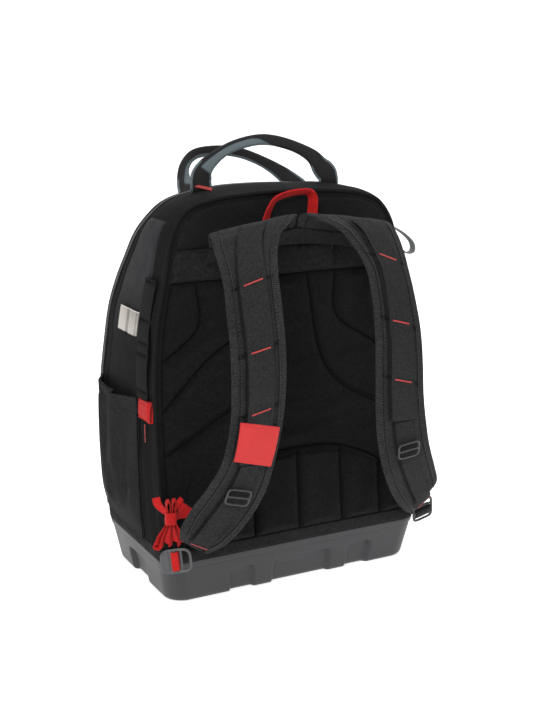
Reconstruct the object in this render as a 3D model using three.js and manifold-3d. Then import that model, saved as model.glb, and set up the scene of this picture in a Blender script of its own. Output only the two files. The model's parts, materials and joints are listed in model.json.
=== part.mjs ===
// A tool backpack: a moulded tub, a hollow cloth body with pockets, a quilted back,
// two padded shoulder straps and two carry handles. Millimetres, +Z up.
// The origin is the middle of the tub's underside. +X is the right-hand side seen from
// the wearer's side, -Y is the wearer's side (the harness) and +Y the outer front.
import * as THREE from 'three';
import Module from 'manifold-3d';
import { mergeVertices } from 'three/addons/utils/BufferGeometryUtils.js';

const wasm = await Module();
wasm.setup();

// Driving dimensions of the bag
const bagWidth = 400;
const bagDepth = 225;
const tubHeight = 62;
const tubTaper = 11.5;
const tubCorner = 28;
const tubWall = 3;
const tubFloor = 3;
const lipHeight = 9;
const lipProud = 1.2;
const recessDepth = 5;
const bindingHeight = 17;
const bindingThickness = 5;
const bindingProud = 2;
const shellHeight = 462;
const backLean = 45;
const edgeRound = 5;
const baseRoundHeight = 75;
const sideCrown = 5;
const fabricWall = 2.5;
const pipingRadius = 3;
const zipperWidth = 9;
const zipperThickness = 3.4;
const sliderLength = 22;
const pullLength = 32;
const pullThickness = 2.4;
const frontCrown = 26;
const pocketHeight = 205;
const pocketBulge = 31;
const sidePocketHeight = 199;
const sidePocketBulge = 15;

// Clearances: between hard neighbours, between a cloth piece and what it lies on, and
// under the webbing on a strap's twisted face
const seat = 0.3;
const clothSeat = 0.6;
const twistSeat = 1.35;

// Quilted back
const panelPad = 4;
const bandPad = 6;
const backPad = 9;
const lumbarPad = 12;
const channelWidth = 4;
const channelDepth = 4;
const padMargin = 5;

// Harness
const strapReach = 110;
const strapThickness = 11;
const strapEdge = 6;
const webbingWidth = 36;
const lowerWebbingWidth = 27;
const webbingThickness = 1.8;
const yokeThickness = 7;
const labelWidth = 58;
const labelThickness = 1.2;
const sliderFrameLength = 24;
const sliderFrameWidth = 35;
const sliderFrameThickness = 3;
const sliderFrameBar = 3.5;
const lockLength = 41;
const lockWidth = 33;
const lockThickness = 3.2;
const lockSlotWidth = 26;
const adjusterWidth = 25;
const adjusterThickness = 1.6;
const tailHeight = 72;
const tailWidth = 46;
const tailThickness = 11;
const wrapWidth = 15;
const wrapHeight = 18;
const wrapThickness = 1.6;

// Handles, loops and trim
const handleRise = 56;
const frontHandleRise = 67;
const handleFoot = 4;
const handleThickness = 7;
const handleRootThickness = 2.6;
const handleGripHeight = 15;
const handleRootWidth = 25;
const grabLoopWidth = 15;
const grabLoopSpan = 72;
const grabLoopRise = 44;
const sideLoopWidth = 14;
const sideLoopReach = 62;
const tapeClipLength = 64;
const tapeClipHeight = 31;
const tapeClipThickness = 1.6;
const sideWebbingWidth = 32;
const tabWidth = 35;
const tabHeight = 27;
const tabThickness = 4;

// Sizes that follow from them
const halfWidth = bagWidth / 2;
const halfDepth = bagDepth / 2;
const bindingTop = tubHeight + seat + bindingHeight;
const shellBase = bindingTop + seat;
const shellTop = shellBase + shellHeight;

const colours = {
  cloth: 0x232325,
  clothGrey: 0x3a3b3e,
  mesh: 0x18181a,
  tub: 0x4b4c50,
  webbing: 0x1d1d1f,
  grey: 0x66757c,
  red: 0xd8322c,
  steel: 0xb9b5a8,
  buckle: 0x3c3d40,
};

const group = new THREE.Group();

function addPiece(name, geometry, colour, roughness = 0.9, metalness = 0) {
  const material = new THREE.MeshStandardMaterial({ color: colour, roughness, metalness });
  const mesh = new THREE.Mesh(geometry, material);
  mesh.name = name;
  group.add(mesh);
  return mesh;
}

// Solids from grids and sections

function closedGeometry(positions, indices) {
  let volume = 0;
  const a = new THREE.Vector3();
  const b = new THREE.Vector3();
  const c = new THREE.Vector3();
  for (let i = 0; i < indices.length; i += 3) {
    a.fromArray(positions, indices[i] * 3);
    b.fromArray(positions, indices[i + 1] * 3);
    c.fromArray(positions, indices[i + 2] * 3);
    volume += a.dot(b.cross(c));
  }
  if (volume < 0) {
    for (let i = 0; i < indices.length; i += 3) {
      [indices[i], indices[i + 1]] = [indices[i + 1], indices[i]];
    }
  }
  const geometry = new THREE.BufferGeometry();
  geometry.setAttribute('position', new THREE.Float32BufferAttribute(positions, 3));
  geometry.setIndex(indices);
  return geometry;
}

// A wall between two grids: point(u, v, layer) with u and v from 0 to 1 and layer 0 or 1.
function wallBetween(point, stepsU, stepsV) {
  const positions = [];
  const indices = [];
  const at = (i, j, layer) => (layer * (stepsU + 1) + i) * (stepsV + 1) + j;
  for (const layer of [0, 1]) {
    for (let i = 0; i <= stepsU; i++) {
      for (let j = 0; j <= stepsV; j++) {
        positions.push(...point(i / stepsU, j / stepsV, layer).toArray());
      }
    }
  }
  const quad = (p, q, r, s) => indices.push(p, q, r, p, r, s);
  for (let i = 0; i < stepsU; i++) {
    for (let j = 0; j < stepsV; j++) {
      quad(at(i, j, 0), at(i + 1, j, 0), at(i + 1, j + 1, 0), at(i, j + 1, 0));
      quad(at(i, j, 1), at(i, j + 1, 1), at(i + 1, j + 1, 1), at(i + 1, j, 1));
    }
  }
  for (let i = 0; i < stepsU; i++) {
    quad(at(i, 0, 0), at(i, 0, 1), at(i + 1, 0, 1), at(i + 1, 0, 0));
    quad(at(i, stepsV, 0), at(i + 1, stepsV, 0), at(i + 1, stepsV, 1), at(i, stepsV, 1));
  }
  for (let j = 0; j < stepsV; j++) {
    quad(at(0, j, 0), at(0, j + 1, 0), at(0, j + 1, 1), at(0, j, 1));
    quad(at(stepsU, j, 0), at(stepsU, j, 1), at(stepsU, j + 1, 1), at(stepsU, j + 1, 0));
  }
  return closedGeometry(positions, indices);
}

// A loft through rings of equal count, closed on itself or capped at its two ends.
function loft(rings, closed = false) {
  const count = rings[0].length;
  const positions = rings.flat().flatMap((p) => p.toArray());
  const indices = [];
  const bands = closed ? rings.length : rings.length - 1;
  for (let k = 0; k < bands; k++) {
    const next = (k + 1) % rings.length;
    for (let j = 0; j < count; j++) {
      const right = (j + 1) % count;
      indices.push(k * count + j, next * count + j, next * count + right);
      indices.push(k * count + j, next * count + right, k * count + right);
    }
  }
  if (!closed) {
    for (const [ring, turned] of [[0, true], [rings.length - 1, false]]) {
      const middle = positions.length / 3;
      const centre = new THREE.Vector3();
      rings[ring].forEach((p) => centre.addScaledVector(p, 1 / count));
      positions.push(...centre.toArray());
      for (let j = 0; j < count; j++) {
        const here = ring * count + j;
        const right = ring * count + (j + 1) % count;
        indices.push(...(turned ? [middle, here, right] : [middle, right, here]));
      }
    }
  }
  return closedGeometry(positions, indices);
}

// A flat band with a rectangular section: frames hold its middle line, the direction of
// its width and its local width and thickness.
function band(frames) {
  const rings = frames.map((frame, k) => {
    const before = frames[Math.max(k - 1, 0)].middle;
    const after = frames[Math.min(k + 1, frames.length - 1)].middle;
    const along = after.clone().sub(before).normalize();
    const across = frame.across.clone();
    across.addScaledVector(along, -across.dot(along)).normalize();
    const up = along.clone().cross(across);
    return [[-1, -1], [1, -1], [1, 1], [-1, 1]].map(([a, b]) => frame.middle.clone()
      .addScaledVector(across, a * frame.width / 2)
      .addScaledVector(up, b * frame.thickness / 2));
  });
  return loft(rings);
}

function solidOf(geometry) {
  const copy = geometry.clone();
  copy.deleteAttribute('normal');
  copy.deleteAttribute('uv');
  const merged = mergeVertices(copy, 1e-4);
  return new wasm.Manifold(new wasm.Mesh({
    numProp: 3,
    vertProperties: new Float32Array(merged.attributes.position.array),
    triVerts: new Uint32Array(merged.index.array),
  }));
}

function geometryOf(solid) {
  const mesh = solid.getMesh();
  const geometry = new THREE.BufferGeometry();
  geometry.setAttribute('position', new THREE.BufferAttribute(new Float32Array(mesh.vertProperties), 3));
  geometry.setIndex(new THREE.BufferAttribute(new Uint32Array(mesh.triVerts), 1));
  return geometry;
}

const smooth = (x) => {
  const t = Math.min(Math.max(x, 0), 1);
  return t * t * (3 - 2 * t);
};
const mix = (a, b, t) => a + (b - a) * t;

// The tub and its binding

// Each recess lies between two shares of its wall's straight length.
const tubRecesses = {
  back: [{ from: -0.62, to: -0.40 }, { from: -0.22, to: 0.33 }, { from: 0.51, to: 0.73 }],
  right: [{ from: -0.32, to: 0.42 }],
  front: [{ from: -0.73, to: -0.51 }, { from: -0.33, to: 0.22 }, { from: 0.40, to: 0.62 }],
  left: [{ from: -0.42, to: 0.32 }],
};
const tubSides = [
  { name: 'back', out: [0, -1], run: [1, 0] },
  { name: 'right', out: [1, 0], run: [0, 1] },
  { name: 'front', out: [0, 1], run: [-1, 0] },
  { name: 'left', out: [-1, 0], run: [0, -1] },
];
const recessSlope = 0.022;
const cornerSteps = 6;

// A rounded rectangle ring at height z; the recesses sink by depth, and inset shrinks all.
function tubRing(z, inset, depth, withRecesses = true) {
  const draft = tubTaper * Math.max(1 - z / tubHeight, 0);
  const halfX = halfWidth - draft - inset;
  const halfY = halfDepth - draft - inset;
  const radius = Math.max(tubCorner - inset, 4);
  const ring = [];
  for (const side of tubSides) {
    const [outX, outY] = side.out;
    const [runX, runY] = side.run;
    const reach = outX ? halfX : halfY;
    const straight = (outX ? halfY : halfX) - radius;
    const place = (share, sunk) => ring.push(new THREE.Vector3(
      outX * (reach - sunk) + runX * share * straight,
      outY * (reach - sunk) + runY * share * straight,
      z,
    ));
    place(-1, 0);
    for (const recess of withRecesses ? tubRecesses[side.name] : []) {
      place(recess.from - recessSlope, 0);
      place(recess.from + recessSlope, depth);
      place(recess.to - recessSlope, depth);
      place(recess.to + recessSlope, 0);
    }
    place(1, 0);
    for (let k = 1; k < cornerSteps; k++) {
      const angle = (k / cornerSteps) * Math.PI / 2;
      const along = straight + radius * Math.sin(angle);
      const out = reach - radius + radius * Math.cos(angle);
      ring.push(new THREE.Vector3(outX * out + runX * along, outY * out + runY * along, z));
    }
  }
  return ring;
}

// Rows of the tub's outer skin, from the floor up: height and inset, then the recess depth
// as a share of its full depth.
const recessTop = tubHeight * 0.6;
const tubSkin = [
  { z: 0, inset: 5, sunk: 1 },
  { z: 2, inset: 1.5, sunk: 1 },
  { z: 6, inset: 0, sunk: 1 },
  { z: recessTop - 3, inset: 0, sunk: 1 },
  { z: recessTop + 2, inset: 0, sunk: 0 },
  { z: tubHeight - lipHeight, inset: 0, sunk: 0 },
  { z: tubHeight - lipHeight + 1, inset: -lipProud, sunk: 0 },
  { z: tubHeight, inset: -lipProud, sunk: 0 },
];
const tubLining = [
  { z: tubHeight, inset: tubWall, sunk: 0 },
  { z: recessTop + 2 + tubWall, inset: tubWall, sunk: 0 },
  { z: recessTop - 3 + tubWall, inset: tubWall, sunk: 1 },
  { z: tubFloor + 4, inset: tubWall, sunk: 1 },
  { z: tubFloor, inset: tubWall + 4, sunk: 1 },
];
const tubRows = [...tubSkin, ...tubLining];
addPiece('base_tub', loft(tubRows.map((row) => tubRing(row.z, row.inset, row.sunk * recessDepth))),
  colours.tub, 0.55);

const bindingInner = bindingThickness - bindingProud;
const bindingRows = [
  { z: tubHeight + seat, inset: bindingInner },
  { z: tubHeight + seat, inset: -bindingProud },
  { z: tubHeight + seat + bindingHeight / 2, inset: -bindingProud - 1 },
  { z: bindingTop, inset: -bindingProud },
  { z: bindingTop, inset: bindingInner },
];
addPiece('base_binding', loft(bindingRows.map((row) => tubRing(row.z, row.inset, 0, false)), true),
  colours.webbing);

// The body's arch: rise is a share of the shell's height, half a share of half the width,
// and front the depth of the zipper line there as a share of half the depth.
const archRows = [
  { rise: 0, half: 1, front: 0.82 },
  { rise: 0.087, half: 1.01, front: 0.88 },
  { rise: 0.253, half: 1.02, front: 0.89 },
  { rise: 0.398, half: 1.018, front: 0.85 },
  { rise: 0.532, half: 1.003, front: 0.74 },
  { rise: 0.647, half: 0.968, front: 0.69 },
  { rise: 0.73, half: 0.924, front: 0.61 },
  { rise: 0.792, half: 0.89, front: 0.49 },
  { rise: 0.875, half: 0.845, front: 0.29 },
  { rise: 0.927, half: 0.79, front: 0.12 },
  { rise: 0.963, half: 0.71, front: 0.04 },
  { rise: 0.985, half: 0.55, front: 0.08 },
  { rise: 0.998, half: 0.25, front: 0.17 },
];
const archPoints = [
  ...archRows.map((row) => [-row.half, row.front, row.rise]),
  [0, 0.2, 1],
  ...archRows.map((row) => [row.half, row.front, row.rise]).reverse(),
].map(([half, front, rise]) => new THREE.Vector3(
  half * halfWidth, front * halfDepth, shellBase + rise * shellHeight,
));
const archCurve = new THREE.CatmullRomCurve3(archPoints, false, 'centripetal');
archCurve.arcLengthDivisions = 800;

const backAt = (z) => -halfDepth + (backLean * (z - tubHeight)) / (shellTop - tubHeight);
const roundAt = (z) => mix(tubCorner, edgeRound, smooth((z - shellBase) / baseRoundHeight));

// Everything that the body's other pieces need to know at a share of the arch's length.
function archAt(share) {
  const point = archCurve.getPointAt(share);
  const tangent = archCurve.getTangentAt(share);
  const normal = new THREE.Vector3(-tangent.z, 0, tangent.x).normalize();
  return { point, normal, back: backAt(point.z), front: point.y, round: roundAt(point.z) };
}

// How far a rounded back edge of the given radius stands in, at a distance from the back.
const edgeInset = (distance, radius) => (distance >= radius
  ? 0
  : radius - Math.sqrt(radius ** 2 - (radius - distance) ** 2));

// A point of the body's side wall, at depth y, moved outward by an offset.
function sideWall(share, y, offset) {
  const arch = archAt(share);
  const across = (y - arch.back) / (arch.front - arch.back);
  const crown = sideCrown * 4 * across * (1 - across);
  const out = crown - edgeInset(Math.max(y - arch.back, 0), arch.round) + offset;
  return new THREE.Vector3(arch.point.x, y, arch.point.z).addScaledVector(arch.normal, out);
}

const pipingGap = pipingRadius + seat;
const archSteps = 44;
addPiece('gusset', wallBetween((u, v, layer) => {
  const arch = archAt(u);
  const y = mix(arch.back + pipingGap, arch.front, v ** 1.3);
  return sideWall(u, y, layer ? -fabricWall : 0);
}, archSteps, 7), colours.clothGrey, 0.7);

// Where the outline of the back panel stands in from the arch
const pipingInset = (arch) => edgeInset(pipingGap, arch.round) + fabricWall / 2;
function backEdge(share, inset) {
  const arch = archAt(share);
  return arch.point.clone().addScaledVector(arch.normal, -pipingInset(arch) - inset);
}

const pipingSides = 6;
const pipingRings = [];
for (let k = 0; k <= archSteps; k++) {
  const share = k / archSteps;
  const middle = backEdge(share, 0);
  const { normal, back } = archAt(share);
  const ring = [];
  for (let j = 0; j < pipingSides; j++) {
    const angle = (j / pipingSides) * Math.PI * 2;
    ring.push(new THREE.Vector3(middle.x, back, middle.z)
      .addScaledVector(normal, pipingRadius * Math.cos(angle))
      .add(new THREE.Vector3(0, pipingRadius * Math.sin(angle), 0)));
  }
  pipingRings.push(ring);
}
addPiece('rear_piping', loft(pipingRings), colours.cloth);

const zipperRings = [];
for (let k = 0; k <= archSteps; k++) {
  const { point, normal, front } = archAt(k / archSteps);
  const corner = (out, y) => new THREE.Vector3(point.x, front + y, point.z).addScaledVector(normal, out);
  zipperRings.push([
    corner(-fabricWall, seat),
    corner(0, seat),
    corner(zipperThickness - fabricWall, zipperWidth * 0.3),
    corner(zipperThickness - fabricWall, zipperWidth * 0.7),
    corner(0, zipperWidth),
    corner(-fabricWall, zipperWidth),
  ]);
}
addPiece('zipper_track', loft(zipperRings), colours.webbing);

// The zipper's slider and cord pull, on the right-hand side
const pullShare = 0.72;
const pullArch = archAt(pullShare);
const pullTangent = archCurve.getTangentAt(pullShare);
const pullDown = new THREE.Vector3(pullTangent.x, 0, pullTangent.z).normalize();
const sliderFrames = [0, 0.15, 0.5, 0.85, 1, 1 + pullLength / sliderLength].map((step) => ({
  middle: pullArch.point.clone()
    .setY(pullArch.front + zipperWidth / 2)
    .addScaledVector(pullArch.normal, zipperThickness - fabricWall + clothSeat + pullThickness / 2)
    .addScaledVector(pullDown, step * sliderLength),
  across: new THREE.Vector3(0, 1, 0),
  width: step > 0.9 ? 4 : 9,
  thickness: pullThickness,
}));
addPiece('zip_slider', band(sliderFrames), colours.red, 0.7);

// The front: a crowned panel inside the zipper line, and a bulging pocket over its foot.
const frontGap = zipperWidth + twistSeat;
const frontTopEase = 3;
const frontStep = 0.488;
function frontSurface(u, v, forward) {
  const share = v * frontStep;
  const left = archAt(share);
  const right = archAt(1 - share);
  const across = mix(-1, 1, u);
  const squared = Math.sign(across) * Math.abs(across) ** 0.8;
  const edge = mix(left.point.x, right.point.x, 0.5 + squared / 2);
  const height = mix(left.point.z, right.point.z, 0.5 + squared / 2);
  const rise = (height - shellBase) / shellHeight;
  const narrow = Math.min(right.point.x / (halfWidth * 0.5), 1);
  const crown = mix(0.45, 1, smooth((rise - 0.4) / 0.4)) * frontCrown * narrow;
  const profile = 1 - Math.abs(squared) ** 4;
  const ease = frontTopEase * smooth((v - 0.55) / 0.3);
  return new THREE.Vector3(edge, left.front + frontGap + ease + crown * profile + forward, height);
}
addPiece('front_panel', wallBetween(
  (u, v, layer) => frontSurface(u, v, layer ? fabricWall : 0), 12, 18,
), colours.cloth);

// Rows of the front pocket: a share of its height, and its bulge as a share of the most
const pocketRows = [
  { up: 0, bulge: 0 },
  { up: 0.03, bulge: 0.62 },
  { up: 0.09, bulge: 0.92 },
  { up: 0.18, bulge: 1 },
  { up: 0.42, bulge: 0.92 },
  { up: 0.66, bulge: 0.72 },
  { up: 0.88, bulge: 0.45 },
  { up: 0.97, bulge: 0.2 },
  { up: 1, bulge: 0 },
];
function rowValue(rows, key, name, value) {
  const last = rows.length - 1;
  let k = 0;
  while (k < last - 1 && rows[k + 1][key] < value) {
    k += 1;
  }
  const t = (value - rows[k][key]) / (rows[k + 1][key] - rows[k][key]);
  return mix(rows[k][name], rows[k + 1][name], Math.min(Math.max(t, 0), 1));
}
const pocketPanelShare = (up) => {
  const height = shellBase + up * pocketHeight;
  let low = 0;
  let high = 1;
  for (let k = 0; k < 30; k++) {
    const middle = (low + high) / 2;
    if (archAt(middle * frontStep).point.z < height) {
      low = middle;
    } else {
      high = middle;
    }
  }
  return (low + high) / 2;
};
const pocketSideInset = 3;
addPiece('front_pocket', wallBetween((u, v, layer) => {
  const angle = Math.PI * (1 - u);
  const across = Math.sign(Math.cos(angle)) * Math.abs(Math.cos(angle)) ** 0.4;
  const swell = Math.abs(Math.sin(angle)) ** 0.36;
  const bulge = rowValue(pocketRows, 'up', 'bulge', v) * pocketBulge;
  const wall = layer ? 0 : fabricWall;
  const narrow = 1 - (pocketSideInset + (layer ? fabricWall * swell : 0)) / halfWidth;
  const panelU = 0.5 + Math.sign(across) * (Math.abs(across) * narrow) ** (1 / 0.8) / 2;
  const ahead = fabricWall + clothSeat + wall + bulge * swell;
  return frontSurface(panelU, pocketPanelShare(v), ahead);
}, 16, 9), colours.cloth);

// The side pockets: open at the top, seated on the side wall round their other edges
const sidePocketRear = -0.42;
const sidePocketFront = 0.80;
const sideFolds = 3;
const foldDepth = 1.6;
function sidePocket(side) {
  return wallBetween((u, v, layer) => {
    const share = sideShareAt(shellBase + v * sidePocketHeight + (1 - v) * 1);
    const y = mix(sidePocketRear, sidePocketFront, u) * halfDepth;
    const swell = Math.sin(Math.PI * u) ** 0.6;
    const fall = smooth(v / 0.25) * mix(1, 0.75, v);
    const fold = foldDepth * Math.sin(Math.PI * 2 * sideFolds * u + 4 * v) * swell * fall;
    const out = clothSeat + (layer ? 0 : fabricWall) + sidePocketBulge * swell * fall + fold;
    const point = sideWall(share, y, out);
    return side < 0 ? point : point.setX(-point.x);
  }, 12, 7);
}
// The share of the arch's length where the left side reaches a height
function sideShareAt(height) {
  let low = 0;
  let high = 0.5;
  for (let k = 0; k < 30; k++) {
    const middle = (low + high) / 2;
    if (archAt(middle).point.z < height) {
      low = middle;
    } else {
      high = middle;
    }
  }
  return (low + high) / 2;
}
const sides = [{ name: 'left', sign: -1 }, { name: 'right', sign: 1 }];
for (const { name, sign } of sides) {
  addPiece(`side_pocket_${name}`, sidePocket(sign), colours.cloth);
}

// The quilted back: flat plates that lean with the back, cut to its outline.

// A plate drawn in x and z, laid from one offset to another in front of the leaning back
function leanPlate(shape, from, to) {
  const geometry = new THREE.ExtrudeGeometry(shape, { depth: to - from, bevelEnabled: false });
  const place = geometry.attributes.position;
  for (let i = 0; i < place.count; i++) {
    const x = place.getX(i);
    const z = place.getY(i);
    place.setXYZ(i, x, backAt(z) - from - place.getZ(i), z);
  }
  const turned = mergeVertices(stripped(geometry), 1e-4);
  return closedGeometry(Array.from(turned.attributes.position.array), Array.from(turned.index.array));
}
function stripped(geometry) {
  geometry.deleteAttribute('normal');
  geometry.deleteAttribute('uv');
  return geometry;
}
function outlineShape(inset) {
  const shape = new THREE.Shape();
  for (let k = 0; k <= archSteps; k++) {
    const point = backEdge(k / archSteps, inset);
    const z = Math.max(point.z, shellBase);
    if (k) {
      shape.lineTo(point.x, z);
    } else {
      shape.moveTo(point.x, z);
    }
  }
  return shape;
}
addPiece('back_panel', leanPlate(outlineShape(pipingGap), -fabricWall, 0), colours.cloth);

// Seams of the quilting, mirrored left and right: shares of half the width and of the
// shell's height
const bandBase = 0.762;
const bandTop = 0.852;
const seams = [
  [{ half: 0.135, rise: 0.755 }, { half: 0.225, rise: 0.506 }, { half: 0.36, rise: 0.424 },
    { half: 0.63, rise: 0.354 }, { half: 1, rise: 0.27 }],
  [{ half: 0.35, rise: 0.755 }, { half: 0.35, rise: 0.63 }, { half: 0.645, rise: 0.534 },
    { half: 1, rise: 0.39 }],
  [{ half: 0.685, rise: 0.755 }, { half: 0.685, rise: 0.636 }, { half: 1, rise: 0.53 }],
];
const lumbarArch = [
  { half: 0, rise: 0.248 },
  { half: 0.28, rise: 0.24 },
  { half: 0.5, rise: 0.208 },
  { half: 0.65, rise: 0.17 },
  { half: 0.79, rise: 0.088 },
  { half: 0.86, rise: 0 },
];
const lumbarChannels = [0, 0.34, 0.65];
const across = (half) => half * halfWidth;
const upTo = (rise) => shellBase + rise * shellHeight;

// A strip of the given width along a line of points, for cutting a channel
function stripAlong(points, width) {
  const left = [];
  const right = [];
  points.forEach((point, k) => {
    const before = points[Math.max(k - 1, 0)];
    const after = points[Math.min(k + 1, points.length - 1)];
    const way = after.clone().sub(before).normalize();
    const beside = new THREE.Vector2(-way.y, way.x).multiplyScalar(width / 2);
    left.push(point.clone().add(beside));
    right.unshift(point.clone().sub(beside));
  });
  return new THREE.Shape([...left, ...right]);
}
function mirrored(rows, sign) {
  return rows.map((row) => new THREE.Vector2(sign * across(row.half), upTo(row.rise)));
}
function boxShape(low, high) {
  return new THREE.Shape([
    new THREE.Vector2(-bagWidth, low), new THREE.Vector2(bagWidth, low),
    new THREE.Vector2(bagWidth, high), new THREE.Vector2(-bagWidth, high),
  ]);
}
const archLine = [
  ...mirrored(lumbarArch, -1).reverse(),
  ...mirrored(lumbarArch, 1).slice(1),
];
const padCut = (inset, from, to) => solidOf(leanPlate(outlineShape(inset), from, to));
const padInset = pipingGap + padMargin;

function cutPad(shape, thickness, lines) {
  const from = clothSeat;
  const to = from + thickness;
  let pad = padCut(padInset, from, to).intersect(solidOf(leanPlate(shape, from - 1, to + 1)));
  for (const line of lines) {
    const groove = leanPlate(stripAlong(line, channelWidth), to - channelDepth, to + 1);
    pad = pad.subtract(solidOf(groove));
  }
  return geometryOf(pad);
}

addPiece('upper_panel', cutPad(boxShape(upTo(bandTop), shellTop + padMargin), panelPad, []),
  colours.cloth);
addPiece('back_band', cutPad(boxShape(upTo(bandBase), upTo(bandTop) - seat), bandPad, [
  [new THREE.Vector2(across(-0.355), upTo(bandBase - 0.01)), new THREE.Vector2(across(-0.355), upTo(bandTop))],
  [new THREE.Vector2(across(0.355), upTo(bandBase - 0.01)), new THREE.Vector2(across(0.355), upTo(bandTop))],
]), colours.webbing);

const padShape = new THREE.Shape([
  ...archLine,
  new THREE.Vector2(bagWidth, shellBase),
  new THREE.Vector2(bagWidth, upTo(bandBase) - seat),
  new THREE.Vector2(-bagWidth, upTo(bandBase) - seat),
  new THREE.Vector2(-bagWidth, shellBase),
]);
const padLines = sides.flatMap(({ sign }) => seams.map((rows) => mirrored(rows, sign)));
addPiece('back_pad', cutPad(padShape, backPad, padLines), colours.mesh);

const lumbarLine = archLine.map((point) => new THREE.Vector2(
  point.x * (1 - seat * 3 / halfWidth), Math.max(point.y - seat * 2, shellBase),
));
const lumbarLines = lumbarChannels.flatMap((half) => [-1, 1].map((sign) => [
  new THREE.Vector2(across(sign * half), shellBase - 1),
  new THREE.Vector2(across(sign * half), upTo(0.26)),
]));
addPiece('lumbar_pad', cutPad(new THREE.Shape(lumbarLine), lumbarPad, lumbarLines), colours.mesh);

// Trim of the side walls. A strip lies on the wall between two heights, and its middle
// line runs between two depths.
function sideStrip(side, low, high, yLow, yHigh, width, thickness, steps, out = 0) {
  return wallBetween((u, v, layer) => {
    const height = mix(low, high, v);
    const y = mix(yLow, yHigh, v) + mix(-0.5, 0.5, u) * width;
    const point = sideWall(sideShareAt(height), y, clothSeat + out + (layer ? thickness : 0));
    return side < 0 ? point : point.setX(-point.x);
  }, 4, steps);
}
const tabTop = upTo(0.434);
const tabMiddle = -0.63 * halfDepth;
const webbingTopMiddle = -0.45 * halfDepth;
const webbingBaseMiddle = -0.58 * halfDepth;
for (const { name, sign } of sides) {
  addPiece(`side_webbing_${name}`, sideStrip(sign, tabTop + clothSeat, upTo(0.765), webbingBaseMiddle,
    webbingTopMiddle, sideWebbingWidth, webbingThickness, 8), colours.webbing);
  addPiece(`red_tab_${name}`, sideStrip(sign, tabTop - tabHeight, tabTop, tabMiddle,
    tabMiddle, tabWidth, tabThickness, 2), colours.red);
}

// The folded steel clip for a tape measure, on the left wall: shares of its length, and
// how far each fold stands out
const clipFolds = [
  { along: 0, out: 1.2 },
  { along: 0.04, out: 3 },
  { along: 0.5, out: 3 },
  { along: 0.56, out: 1.2 },
  { along: 0.62, out: 3.4 },
  { along: 0.96, out: 3.4 },
  { along: 1, out: 1.2 },
];
const clipMiddle = -0.045 * halfDepth;
const clipBase = upTo(0.6);
const clipFootGap = 1.2 - clothSeat;
addPiece('tape_clip', wallBetween((u, v, layer) => {
  const k = Math.round(u * (clipFolds.length - 1));
  const { along, out } = clipFolds[k];
  const y = clipMiddle + tapeClipLength * (0.5 - along);
  const height = clipBase + v * tapeClipHeight;
  const stand = out - clipFootGap + (layer ? tapeClipThickness : 0);
  return sideWall(sideShareAt(height), y, stand);
}, clipFolds.length - 1, 2), colours.steel, 0.35, 0.9);

// A soft loop on the right wall: out and down, and back to the wall
const loopLine = [
  { out: 0, down: 0 },
  { out: 0.35, down: 0.06 },
  { out: 0.75, down: 0.32 },
  { out: 1, down: 0.68 },
  { out: 0.97, down: 0.9 },
  { out: 0.82, down: 0.96 },
  { out: 0.5, down: 0.72 },
  { out: 0, down: 0.62 },
];
const loopTop = upTo(0.865);
const loopDepth = -0.06 * halfDepth;
const loopDrop = 50;
const loopThickness = 1.8;
const loopCurve = new THREE.CatmullRomCurve3(loopLine.map((row) => {
  const height = loopTop - row.down * loopDrop;
  const wall = sideWall(sideShareAt(height), loopDepth, clothSeat + loopThickness / 2);
  return new THREE.Vector3(-wall.x + row.out * sideLoopReach, loopDepth, height);
}));
function alongCurve(curve, steps, across, width, thickness) {
  return Array.from({ length: steps + 1 }, (_, k) => ({
    middle: curve.getPointAt(k / steps),
    across,
    width,
    thickness,
  }));
}
addPiece('side_loop', band(alongCurve(loopCurve, 20, new THREE.Vector3(0, 1, 0), sideLoopWidth,
  loopThickness)), colours.grey);

// Carry handles: webbing folded to a grip in the middle. Each line holds shares of half the
// width and of its rise; it stands at a depth y, sunk a little into the slope of the cloth's
// top, and leans with its height.
const handleRearLine = [
  { half: -0.51, up: 0 }, { half: -0.51, up: 0.12 }, { half: -0.485, up: 0.36 }, { half: -0.4, up: 0.63 },
  { half: -0.285, up: 0.85 }, { half: -0.1, up: 1 }, { half: 0.025, up: 0.985 }, { half: 0.21, up: 0.8 },
  { half: 0.34, up: 0.55 }, { half: 0.4, up: 0.3 }, { half: 0.45, up: 0.12 }, { half: 0.46, up: 0 },
];
const handleFrontLine = [
  { half: -0.38, up: 0 }, { half: -0.385, up: 0.12 }, { half: -0.395, up: 0.4 }, { half: -0.36, up: 0.7 },
  { half: -0.26, up: 0.93 }, { half: -0.1, up: 1 }, { half: 0.09, up: 0.95 }, { half: 0.26, up: 0.75 },
  { half: 0.39, up: 0.48 }, { half: 0.46, up: 0.25 }, { half: 0.49, up: 0.1 }, { half: 0.49, up: 0 },
];
const handles = [
  { name: 'handle_rear', line: handleRearLine, y: -0.22, lean: 4, rise: handleRise, sink: 0,
    surfaceAt: topAt },
  { name: 'handle_front', line: handleFrontLine, y: 0.5, lean: 58, rise: frontHandleRise, sink: 1,
    surfaceAt: frontTopAt },
];
function topAt(x, y) {
  let best = shellBase;
  for (let k = 20; k <= 80; k++) {
    const arch = archAt(k / 100);
    if (y <= arch.front && Math.abs(arch.point.x - x) < halfWidth * 0.03) {
      best = Math.max(best, sideWall(k / 100, y, 0).z);
    }
  }
  return best;
}
function frontTopAt(x, y) {
  let best = shellBase;
  for (let i = 0; i <= 80; i++) {
    for (let j = 40; j <= 80; j++) {
      const point = frontSurface(i / 80, j / 80, fabricWall);
      if (Math.abs(point.x - x) < halfWidth * 0.04 && Math.abs(point.y - y) < halfDepth * 0.037) {
        best = Math.max(best, point.z);
      }
    }
  }
  return best;
}
const handleSteps = 26;
const foldFrom = 0.22;
const foldTo = 0.85;
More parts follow.
